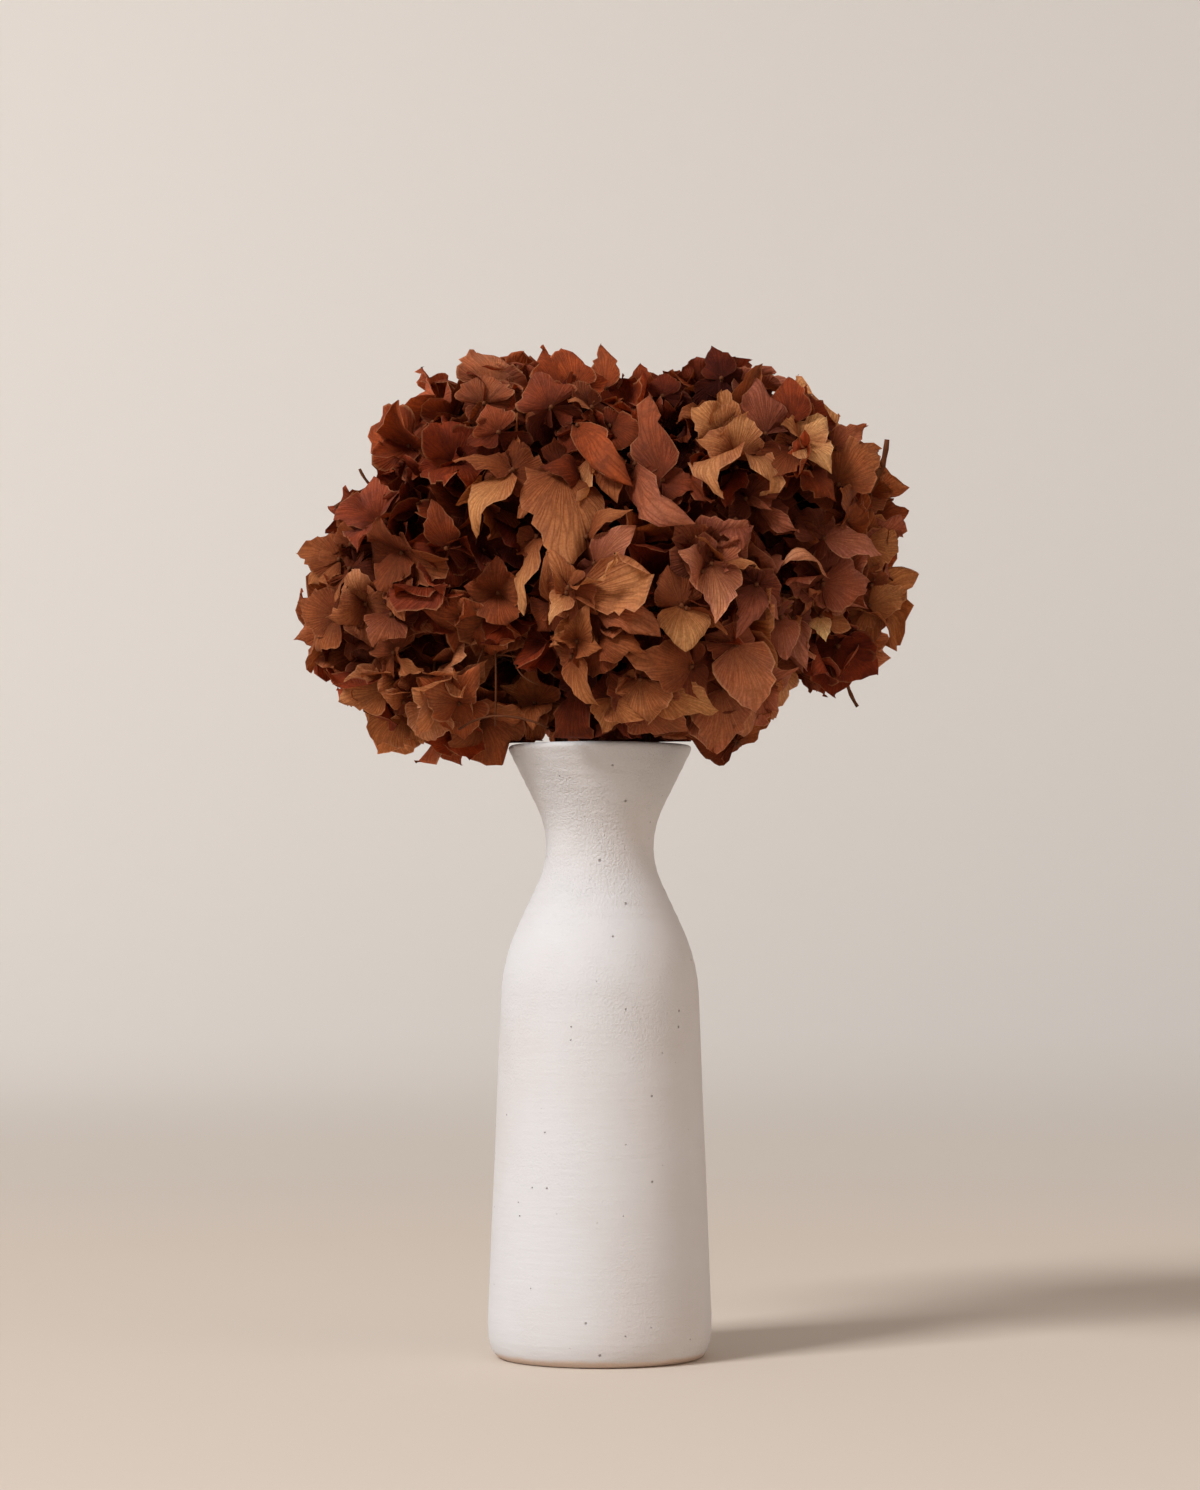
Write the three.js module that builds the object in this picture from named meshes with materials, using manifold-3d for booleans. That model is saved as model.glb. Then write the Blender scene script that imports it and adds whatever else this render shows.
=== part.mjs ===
// Dried hydrangeas in a waisted stoneware vase. Each hydrangea is a woody stem and a flower
// head, and a head is a dome of florets with four papery sepals each.
// Millimetres, +Z up. The origin is the centre of the vase's foot, and the front looks along -Y.
import * as THREE from "three";
import { mergeVertices } from "three/addons/utils/BufferGeometryUtils.js";
import Module from "manifold-3d";

const wasm = await Module();
wasm.setup();

// The neck, shoulder and foot are the corners of the vase's outline before they are rounded.
const vase = {
  height: 255,
  rimRadius: 39.35,
  neckRadius: 18.5,
  neckHeight: 213.3,
  shoulderRadius: 40.8,
  shoulderHeight: 165.4,
  footRadius: 47.3,
  wall: 5.3,
  lip: 6.2,
  floor: 8,
  sides: 32,
};

const stem = {
  radius: 2.9,
  foot: { ring: 24, height: vase.floor + 0.6 }, // where the cut ends stand in the vase
  neck: { ring: 11.8, height: vase.neckHeight },
  mouth: { ring: 19, height: vase.height - 8 },
  sides: 6,
  steps: 11,
};

// Heads in order round the vase's neck, so that their stems stand side by side in it.
// lean is the way that the head faces, and turn is where its stem passes the neck, in degrees.
const heads = [
  { name: "lower_right", centre: [69, 14, 328], radius: 56, lean: [0.8, 0.25, 0.55], turn: 30 },
  { name: "back", centre: [2, 44, 322], radius: 62, lean: [0, 0.8, 0.6], turn: 90 },
  { name: "lower_left", centre: [-62, 4, 313], radius: 60, lean: [-0.85, 0.05, 0.5], turn: 150 },
  { name: "upper_left", centre: [-31, -12, 352], radius: 66, lean: [-0.35, -0.2, 0.9], turn: 210 },
  { name: "front", centre: [18, -40, 312], radius: 62, lean: [0.1, -0.86, 0.5], turn: 270 },
  { name: "upper_right", centre: [54, -9, 354], radius: 62, lean: [0.45, -0.15, 0.88], turn: 330 },
].map((one) => ({
  ...one,
  centre: new THREE.Vector3(...one.centre),
  lean: new THREE.Vector3(...one.lean).normalize(),
}));

const head = {
  tip: 0.62, // from the head's centre back to the stem's tip, in head radii
  core: 0.64, // the knot of stalks that the florets stand on, in head radii
  root: 0.3, // where a floret's stalk starts in the core, in head radii
  eyes: 0.83, // the florets' eyes, in head radii
  underside: 130, // degrees from the lean, past which a head has no florets
  valley: 4, // how far into the next head a floret may lie before it is moved back
  floretArea: 1360, // of the head's surface for each floret
  gap: 0.5, // between two heads, and between a stem and its head
};

const floret = {
  sepals: 4,
  length: 23,
  notch: 0.2, // where two sepals meet, in sepal lengths
  thickness: 0.65, // square to the blade
  stalk: 2.2, // where it meets the blade
};

// A fixed row of numbers from 0 to 1 for each seed, so that the bunch comes out the same.
function randomRow(seed) {
  let state = seed;
  return () => {
    state = (state * 48271) % 2147483647;
    return state / 2147483647;
  };
}

function between(random, low, high) {
  return low + (high - low) * random();
}

function solidOf(geometry) {
  const bare = geometry.clone().deleteAttribute("normal").deleteAttribute("uv");
  const merged = mergeVertices(bare, 1e-4);
  return new wasm.Manifold(
    new wasm.Mesh({
      numProp: 3,
      vertProperties: new Float32Array(merged.attributes.position.array),
      triVerts: new Uint32Array(merged.index.array),
    }),
  );
}

function geometryOf(solid) {
  const { vertProperties, triVerts } = solid.getMesh();
  const geometry = new THREE.BufferGeometry();
  geometry.setAttribute("position", new THREE.BufferAttribute(vertProperties, 3));
  geometry.setIndex(new THREE.BufferAttribute(triVerts, 1));
  geometry.computeVertexNormals();
  return geometry;
}

// A line of [radius, height] points. A corner is rounded off from the first of its two
// distances before it to the second after it.
function roundedLine(corners) {
  const places = corners.map(({ at }) => new THREE.Vector2(...at));
  return corners.flatMap(({ round, steps }, i) => {
    if (!round) return [places[i]];
    const [before, after] = round;
    const back = places[i - 1].clone().sub(places[i]).setLength(before);
    const ahead = places[i + 1].clone().sub(places[i]).setLength(after);
    const from = places[i].clone().add(back);
    const to = places[i].clone().add(ahead);
    return new THREE.QuadraticBezierCurve(from, places[i], to).getPoints(steps);
  });
}

function vaseGeometry() {
  const { wall, floor, height } = vase;
  const outline = roundedLine([
    { at: [0, 0] },
    { at: [vase.footRadius, 0], round: [7, 18], steps: 3 },
    { at: [vase.shoulderRadius, vase.shoulderHeight], round: [14, 16], steps: 3 },
    { at: [vase.neckRadius, vase.neckHeight], round: [18.3, 19.4], steps: 5 },
    { at: [vase.rimRadius, height], round: [3, 3.1], steps: 2 },
    { at: [vase.rimRadius - vase.lip, height], round: [3, 3.5], steps: 1 },
    { at: [vase.neckRadius - wall, vase.neckHeight], round: [19.4, 18.3], steps: 3 },
    { at: [vase.shoulderRadius - wall, vase.shoulderHeight], round: [16, 14], steps: 2 },
    { at: [vase.footRadius - wall, floor], round: [7, 7], steps: 1 },
    { at: [0, floor] },
  ]);
  return new THREE.LatheGeometry(outline, vase.sides).rotateX(Math.PI / 2);
}

function ringPoint({ ring, height }, turn) {
  const angle = THREE.MathUtils.degToRad(turn);
  return new THREE.Vector3(ring * Math.cos(angle), ring * Math.sin(angle), height);
}

// From the vase's floor through the neck to the head, which it meets along the head's lean.
function stemCurve({ centre, radius, lean, turn }) {
  const tip = centre.clone().addScaledVector(lean, -head.tip * radius - head.gap);
  return new THREE.CatmullRomCurve3(
    [
      ringPoint(stem.foot, turn),
      ringPoint({ ring: 16, height: 110 }, turn),
      ringPoint(stem.neck, turn),
      ringPoint(stem.mouth, turn),
      tip.clone().addScaledVector(lean, -14),
      tip,
    ],
    false,
    "centripetal",
  );
}

function stemGeometry(curve) {
  const section = new THREE.Shape();
  for (let i = 0; i < stem.sides; i++) {
    const angle = (i / stem.sides) * 2 * Math.PI;
    const [x, y] = [stem.radius * Math.cos(angle), stem.radius * Math.sin(angle)];
    if (i) section.lineTo(x, y);
    else section.moveTo(x, y);
  }
  section.closePath();
  return new THREE.ExtrudeGeometry(section, { steps: stem.steps, extrudePath: curve });
}

// The heads press on each other on flat faces. A face is { normal, reach }: the head keeps
// within reach of its centre along normal.
function facesOf(one) {
  return heads
    .filter((other) => other !== one)
    .map((other) => {
      const normal = other.centre.clone().sub(one.centre);
      const apart = normal.length();
      const reach = (apart ** 2 + one.radius ** 2 - other.radius ** 2) / (2 * apart);
      return { normal: normal.normalize(), reach: reach - head.gap / 2 };
    })
    .filter(({ reach }) => reach < one.radius * 1.3);
}

// The knot of branching stalks inside a head: a cone on the stem's tip with a dome on it.
function coreSolid(one, faces) {
  const outline = [
    [0, -head.tip],
    [0.06, -head.tip],
    [0.3, -0.36],
    [0.52, -0.1],
    [head.core, 0.12],
    [0.5, 0.38],
    [0.27, 0.55],
    [0, head.core],
  ].map(([r, z]) => new THREE.Vector2(r * one.radius, z * one.radius));
  const toLean = new THREE.Quaternion().setFromUnitVectors(new THREE.Vector3(0, 1, 0), one.lean);
  const dome = new THREE.LatheGeometry(outline, 10).applyQuaternion(toLean);
  dome.translate(...one.centre);
  return faces.reduce((core, { normal, reach }) => {
    const offset = -(normal.dot(one.centre) + reach);
    return core.trimByPlane(normal.clone().negate().toArray(), offset);
  }, solidOf(dome));
}

// One sepal's three outline points and its middle, in the floret's own frame, where the eye
// is the origin and the floret faces +Z. Each is [distance, aside, height] in sepal lengths.
function sepalPoints({ turn, length, cup, twist, fold }) {
  const place = ([distance, aside, height]) => {
    const flat = new THREE.Vector2(distance, aside).rotateAround(new THREE.Vector2(), turn);
    return new THREE.Vector3(flat.x, flat.y, height).multiplyScalar(length);
  };
  return {
    middle: place([0.5, 0, cup * 0.35 - fold]),
    edge: [
      [0.62, -0.43, cup * 0.6 - twist],
      [1.04, 0, cup],
      [0.62, 0.43, cup * 0.6 + twist],
    ].map(place),
  };
}

// The upper face of a floret: the points and, as threes of them, its triangles. Point 0 is the
// eye, and each sepal has a middle and a rim that runs from one notch to the next.
function floretFace(sepals) {
  const points = [new THREE.Vector3()];
  const addPoint = (point) => points.push(point) - 1;
  const notches = sepals.map(({ turn }, i) => {
    const next = i + 1 < sepals.length ? sepals[i + 1].turn : sepals[0].turn + 2 * Math.PI;
    const out = new THREE.Vector3(floret.notch * floret.length, 0, 0.6);
    return addPoint(out.applyAxisAngle(new THREE.Vector3(0, 0, 1), (turn + next) / 2));
  });
  const blades = sepals.map((sepal, i) => {
    const { middle, edge } = sepalPoints(sepal);
    const notchBefore = notches[(i + sepals.length - 1) % sepals.length];
    return { middle: addPoint(middle), rim: [notchBefore, ...edge.map(addPoint), notches[i]] };
  });
  const triangles = blades.flatMap(({ middle, rim }) => [
    [0, rim[0], middle],
    [0, middle, rim.at(-1)],
    ...rim.slice(1).map((point, k) => [middle, rim[k], point]),
  ]);
  return { points, blades, triangles };
}

function triangleNormal(points, triangle) {
  const [a, b, c] = triangle.map((corner) => points[corner]);
  return new THREE.Triangle(a, b, c).getNormal(new THREE.Vector3());
}

// A floret as one waved blade of four sepals on a stalk that tapers into the core. The blade's
// two faces are split into triangles alike, so that they stay one thickness apart.
function floretSolid(face, points, facing, depth, stalkRoot) {
  const corners = [...points, ...points.map((p) => p.clone().addScaledVector(facing, -depth))];
  const below = points.length; // a corner's twin on the lower face is this much further on
  const underEye = corners[below];
  const collar = face.blades.map(({ rim }) => {
    const aside = corners[rim.at(-1) + below].clone().sub(underEye).setLength(floret.stalk);
    return corners.push(aside.add(underEye)) - 1;
  });
  const root = corners.push(stalkRoot) - 1;
  const triangles = [...face.triangles];
  face.blades.forEach(({ middle, rim }, i) => {
    const [from, to] = [collar.at(i - 1), collar[i]];
    triangles.push([middle + below, rim[0] + below, from]);
    triangles.push([middle + below, from, to]);
    triangles.push([middle + below, to, rim.at(-1) + below]);
    triangles.push([from, root, to]);
    rim.slice(1).forEach((b, k) => {
      const a = rim[k];
      triangles.push([middle + below, b + below, a + below]);
      triangles.push([a, a + below, b + below], [a, b + below, b]);
    });
  });
  return new wasm.Manifold(
    new wasm.Mesh({
      numProp: 3,
      vertProperties: new Float32Array(corners.flatMap((corner) => corner.toArray())),
      triVerts: new Uint32Array(triangles.flat()),
    }),
  );
}

function randomSepals(random) {
  return Array.from({ length: floret.sepals }, (_, i) => ({
    turn: ((i + between(random, -0.05, 0.05)) * 2 * Math.PI) / floret.sepals,
    length: floret.length * between(random, 0.85, 1.08),
    cup: between(random, -0.25, 0.5),
    twist: between(random, -0.12, 0.12),
    fold: between(random, -0.08, 0.14),
  }));
}

// The directions of florets on a head, spread evenly as seeds are, from the top downwards.
function floretDirections({ radius, lean }) {
  const count = Math.round((4 * Math.PI * radius ** 2) / head.floretArea);
  const goldenTurn = Math.PI * (3 - Math.sqrt(5));
  const toLean = new THREE.Quaternion().setFromUnitVectors(new THREE.Vector3(0, 0, 1), lean);
  const lowest = Math.cos(THREE.MathUtils.degToRad(head.underside));
  return Array.from({ length: count }, (_, i) => {
    const height = 1 - (2 * i + 1) / count;
    const out = Math.sqrt(1 - height ** 2);
    const turn = i * goldenTurn;
    return { height, way: new THREE.Vector3(out * Math.cos(turn), out * Math.sin(turn), height) };
  })
    .filter(({ height }) => height > lowest)
    .map(({ way }) => way.applyQuaternion(toLean));
}

// Moves a point of a floret, and its twin at depth below it, back behind the head's faces.
function pressed(point, one, faces, facing, depth) {
  const moved = point.clone();
  for (const { normal, reach } of [...faces, ...faces]) {
    const out = moved.clone().sub(one.centre).dot(normal) + Math.max(0, -facing.dot(normal) * depth);
    moved.addScaledVector(normal, Math.min(0, reach - out));
  }
  return moved;
}

// The way to the vase's rim or to a stem that a point is too close to, or nothing.
function inTheWay(point, stemLine) {
  const out = Math.hypot(point.x, point.y);
  if (point.z < vase.height + 3 && out < vase.rimRadius + 3) {
    return new THREE.Vector3(0, 0, vase.height).sub(point).normalize();
  }
  const near = stemLine.find((at) => at.distanceTo(point) < stem.radius + 2.5);
  return near && near.clone().sub(point).normalize();
}

// A floret that stands clear of everything else. Its sepals are bent along the head's faces,
// and it is turned, lowered and shrunk until nothing is in its way, or left out.
function placedFloret(one, way, random, faces, stemLine) {
  const face = floretFace(randomSepals(random));
  const size = between(random, 0.88, 1.12);
  const eyes = (head.eyes + between(random, -0.06, 0.08)) * one.radius;
  const spin = new THREE.Quaternion();
  spin.setFromAxisAngle(new THREE.Vector3(0, 0, 1), between(random, 0, 2 * Math.PI));
  const tilt = new THREE.Vector3(...[0, 0, 0].map(() => between(random, -0.4, 0.4)));
  const stalkRoot = one.centre.clone().addScaledVector(way, head.root * one.radius);
  const stand = one.centre.clone().addScaledVector(way, eyes);
  const push = new THREE.Vector3();
  for (const { normal, reach } of faces) {
    const over = stand.clone().sub(one.centre).dot(normal) - reach;
    if (over > head.valley) return null;
    stand.addScaledVector(normal, Math.min(0, -3 - over));
    push.addScaledVector(normal, THREE.MathUtils.clamp(over / floret.length + 0.7, 0, 1));
  }
  for (let i = 0; i < 10; i++) {
    const facing = way.clone().add(tilt).addScaledVector(push, 0.6 + 0.3 * i).normalize();
    const eye = stand.clone().addScaledVector(way, -i);
    const turn = new THREE.Quaternion().setFromUnitVectors(new THREE.Vector3(0, 0, 1), facing);
    const scale = new THREE.Vector3().setScalar(size * (1 - 0.04 * i));
    const toHead = new THREE.Matrix4().compose(eye, turn.multiply(spin), scale);
    const free = face.points.map((point) => point.clone().applyMatrix4(toHead));
    const points = free.map((point) => pressed(point, one, faces, facing, 1.3));
    const slopes = face.triangles.map((three) => triangleNormal(points, three).dot(facing));
    const depth = floret.thickness / Math.min(...slopes);
    const middles = points.map((point) => point.clone().lerp(points[0], 0.35));
    const stalk = [0.25, 0.5, 0.75].map((share) => stalkRoot.clone().lerp(points[0], share));
    const met = [...points, ...middles, ...stalk]
      .map((point) => inTheWay(point, stemLine))
      .find(Boolean);
    if (!met && depth > 0 && depth < 1.3) {
      return floretSolid(face, points, facing, depth, stalkRoot);
    }
    if (met) push.add(met);
  }
  return null;
}

// Joins solids and keeps the one body that holds together, with its hollows filled.
function joined(solids) {
  const bodies = solids.reduce((whole, solid) => whole.add(solid)).decompose();
  const whole = bodies.reduce((most, body) => (body.volume() > most.volume() ? body : most));
  return whole.asOriginal().simplify(0.1);
}

function headSolid(one, seed, stemLine) {
  const random = randomRow(seed);
  const faces = facesOf(one);
  const florets = floretDirections(one)
    .map((way) => placedFloret(one, way, random, faces, stemLine))
    .filter(Boolean);
  return joined([coreSolid(one, faces), ...florets]);
}

const stoneware = { color: 0xe6e0da, roughness: 0.8, metalness: 0 };
const bark = { color: 0x5a3a26, roughness: 0.85, metalness: 0 };
const driedSepals = { color: 0x8c4524, roughness: 0.8, metalness: 0 };

function piece(name, geometry, look) {
  const mesh = new THREE.Mesh(geometry, new THREE.MeshStandardMaterial(look));
  mesh.name = name;
  return mesh;
}

const bunch = new THREE.Group();
bunch.add(piece("vase", vaseGeometry(), stoneware));

const curves = heads.map(stemCurve);
const stemLine = curves.flatMap((curve) => curve.getPoints(60));
heads.forEach((one, i) => {
  const blooms = geometryOf(headSolid(one, 101 + i, stemLine));
  bunch.add(piece("stem_" + one.name, stemGeometry(curves[i]), bark));
  bunch.add(piece("head_" + one.name, blooms, driedSepals));
});

export default bunch;
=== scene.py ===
import math

import bmesh
import bpy
from mathutils import Matrix, Quaternion, Vector, noise


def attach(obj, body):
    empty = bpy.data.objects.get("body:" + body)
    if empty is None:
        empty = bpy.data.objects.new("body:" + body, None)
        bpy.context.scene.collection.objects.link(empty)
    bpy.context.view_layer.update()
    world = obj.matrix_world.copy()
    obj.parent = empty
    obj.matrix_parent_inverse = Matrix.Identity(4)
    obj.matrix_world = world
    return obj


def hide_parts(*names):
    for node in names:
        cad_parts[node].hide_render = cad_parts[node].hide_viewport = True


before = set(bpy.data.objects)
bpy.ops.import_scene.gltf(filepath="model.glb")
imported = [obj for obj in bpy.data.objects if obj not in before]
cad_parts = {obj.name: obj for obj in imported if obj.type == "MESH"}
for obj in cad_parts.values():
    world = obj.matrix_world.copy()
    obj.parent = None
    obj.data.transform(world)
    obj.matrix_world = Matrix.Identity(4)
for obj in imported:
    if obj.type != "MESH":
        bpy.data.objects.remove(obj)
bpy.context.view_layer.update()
mm = 0.001
upward = Vector((0, 0, 1))
noise.seed_set(3)  # noise_vector's offsets would otherwise follow the clock

# ---- shared helpers


def randomRow(seed):
    # the same even row of numbers from 0 to 1 each time for a seed
    state = seed
    while True:
        state = state * 48271 % 2147483647
        yield state / 2147483647


def between(row, low, high):
    return low + (high - low) * next(row)


def linear(hexColour):
    channels = [int(hexColour[i : i + 2], 16) / 255 for i in (1, 3, 5)]
    return [c / 12.92 if c <= 0.04045 else ((c + 0.055) / 1.055) ** 2.4 for c in channels] + [1.0]


def addNode(tree, kind, inputs=None, **settings):
    # an input is a value, a socket, or a node whose first output in use is linked
    node = tree.nodes.new("ShaderNode" + kind)
    for name, value in settings.items():
        setattr(node, name, value)
    for name, value in (inputs or {}).items():
        if isinstance(value, bpy.types.Node):
            value = next(output for output in value.outputs if output.enabled)
        if isinstance(value, bpy.types.NodeSocket):
            tree.links.new(value, node.inputs[name])
        else:
            node.inputs[name].default_value = value
    return node


def newMaterial(name):
    material = bpy.data.materials.new(name)
    material.use_nodes = True
    material.node_tree.nodes.clear()
    return material, material.node_tree


def finishPiece(name, bm, materials):
    mesh = bpy.data.meshes.new(name)
    for face in bm.faces:
        face.smooth = True
    bm.to_mesh(mesh)
    bm.free()
    for material in materials:
        mesh.materials.append(material)
    piece = bpy.data.objects.new(name, mesh)
    bpy.context.scene.collection.objects.link(piece)
    return piece


def joinOn(whole, part):
    # a small mesh is shaped on its own and added when it is ready, which is much faster
    scrap = bpy.data.meshes.new("scrap")
    part.to_mesh(scrap)
    part.free()
    whole.from_mesh(scrap)
    bpy.data.meshes.remove(scrap)


def drawLine(bm, outline):
    verts = [bm.verts.new(point) for point in outline]
    return [bm.edges.new(pair) for pair in zip(verts, verts[1:])]


def turnRound(bm, sides):
    # the outline that is in bm goes all the way round the upright axis
    bmesh.ops.spin(
        bm,
        geom=bm.verts[:] + bm.edges[:],
        axis=upward,
        cent=(0, 0, 0),
        angle=2 * math.pi,
        steps=sides,
        use_merge=True,
    )
    bmesh.ops.remove_doubles(bm, verts=bm.verts, dist=1e-6)
    bmesh.ops.recalc_face_normals(bm, faces=bm.faces)


def addTube(whole, points, radii, sides, materialIndex=0):
    # a ring drawn out along the points, with a flat end on each
    last = len(points) - 1
    ahead = [(points[min(i + 1, last)] - points[max(i - 1, 0)]).normalized() for i in range(last + 1)]
    turn = upward.rotation_difference(ahead[0])
    placed = Matrix.LocRotScale(points[0], turn, Vector((radii[0],) * 3))
    bm = bmesh.new()
    bmesh.ops.create_circle(bm, segments=sides, radius=1.0, cap_ends=True, matrix=placed)
    edges = bm.edges[:]
    for i in range(1, last + 1):
        turn = ahead[i - 1].rotation_difference(ahead[i]) @ turn
        grown = Matrix.LocRotScale(points[i], turn, Vector((radii[i],) * 3))
        drawn = bmesh.ops.extrude_edge_only(bm, edges=edges)["geom"]
        verts = [part for part in drawn if isinstance(part, bmesh.types.BMVert)]
        edges = [part for part in drawn if isinstance(part, bmesh.types.BMEdge)]
        bmesh.ops.transform(bm, matrix=grown @ placed.inverted(), verts=verts)
        placed = grown
    bmesh.ops.edgeloop_fill(bm, edges=edges)
    for face in bm.faces:
        face.material_index = materialIndex
    bmesh.ops.recalc_face_normals(bm, faces=bm.faces)
    joinOn(whole, bm)


# ---- camera: an 85 mm lens a metre and a half away, a little under the middle of the vase

view = {"distance": 1.478, "height": 0.176, "lens": 85.0, "pitchUp": 3.07, "near": 0.05, "far": 30}

cameraData = bpy.data.cameras.new("camera")
cameraData.lens = view["lens"]
cameraData.clip_start = view["near"]
cameraData.clip_end = view["far"]
camera = bpy.data.objects.new("camera", cameraData)
camera.location = (0, -view["distance"], view["height"])
camera.rotation_euler = (math.radians(90 + view["pitchUp"]), 0, 0)
bpy.context.scene.collection.objects.link(camera)
bpy.context.scene.camera = camera
bpy.context.scene.view_settings.view_transform = "Standard"

# ---- vase

vase = {
    "height": 255 * mm,
    "rimRadius": 39.35 * mm,
    "neckRadius": 18.5 * mm,
    "neckHeight": 213.3 * mm,
    "shoulderRadius": 40.8 * mm,
    "shoulderHeight": 165.4 * mm,
    "footRadius": 47.3 * mm,
    "wall": 5.3 * mm,
    "lip": 6.2 * mm,
    "floor": 8 * mm,
    "sides": 144,
    "ridge": 0.07 * mm,  # how far the throwing rings stand out
    "ridgeStep": 5.2 * mm,  # how far the wall rises in one turn of the wheel
    "wobble": 0.25 * mm,  # how far the wall strays from round, and how often in each metre
    "wobbles": 28,
    "tallWall": 12 * mm,  # a longer part of the outline that starts this far out is divided, so
    "tallOut": 20 * mm,  # that it can show the rings
    "divisions": 24,
    "clay": "#c9c6c5",
    "clayWarm": "#c3bab5",
    "pit": "#72665e",
    "foot": "#c8b3a3",
    "footBand": 2.5 * mm,
}


def roundedLine(corners):
    # corners are (radius, height, rounding before, rounding after, steps)
    line = []
    places = [Vector((corner[0], 0, corner[1])) for corner in corners]
    for i, corner in enumerate(corners):
        if len(corner) == 2:
            line.append(places[i])
            continue
        back = places[i] + (places[i - 1] - places[i]).normalized() * corner[2]
        ahead = places[i] + (places[i + 1] - places[i]).normalized() * corner[3]
        for k in range(corner[4] + 1):
            t = k / corner[4]
            line.append(back.lerp(places[i], t).lerp(places[i].lerp(ahead, t), t))
    return line


def buildVase():
    v = vase
    wall = v["wall"]
    outline = roundedLine(
        [
            (0, 0),
            (v["footRadius"], 0, 7 * mm, 18 * mm, 10),
            (v["shoulderRadius"], v["shoulderHeight"], 14 * mm, 16 * mm, 10),
            (v["neckRadius"], v["neckHeight"], 18.3 * mm, 19.4 * mm, 18),
            (v["rimRadius"], v["height"], 3 * mm, 3.1 * mm, 7),
            (v["rimRadius"] - v["lip"], v["height"], 3 * mm, 3.5 * mm, 7),
            (v["neckRadius"] - wall, v["neckHeight"], 19.4 * mm, 18.3 * mm, 12),
            (v["shoulderRadius"] - wall, v["shoulderHeight"], 16 * mm, 14 * mm, 6),
            (v["footRadius"] - wall, v["floor"], 7 * mm, 7 * mm, 4),
            (0, v["floor"]),
        ]
    )
    bm = bmesh.new()
    edges = drawLine(bm, outline)
    outer = [edge for edge in edges if edge.verts[0].co.x > v["tallOut"]]
    tall = [edge for edge in outer if edge.calc_length() > v["tallWall"]]
    bmesh.ops.subdivide_edges(bm, edges=tall, cuts=v["divisions"], use_grid_fill=False)
    turnRound(bm, v["sides"])
    for vert in bm.verts:
        out = math.hypot(vert.co.x, vert.co.y)
        if out < 1 * mm or vert.co.z < 1 * mm:
            continue  # the middle and the foot stay flat
        turn = math.atan2(vert.co.y, vert.co.x)
        rise = vert.co.z / v["ridgeStep"] * 2 * math.pi + turn
        soft = v["wobble"] * noise.noise(Vector((vert.co.x, vert.co.y, vert.co.z * 0.7)) * v["wobbles"])
        grow = 1 + (v["ridge"] * math.sin(rise) + soft) / out
        vert.co.x *= grow
        vert.co.y *= grow
    piece = finishPiece("vase_thrown", bm, [matteStoneware()])
    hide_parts("vase")
    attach(piece, "root")
    print("vase", len(piece.data.polygons), "faces")


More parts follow.
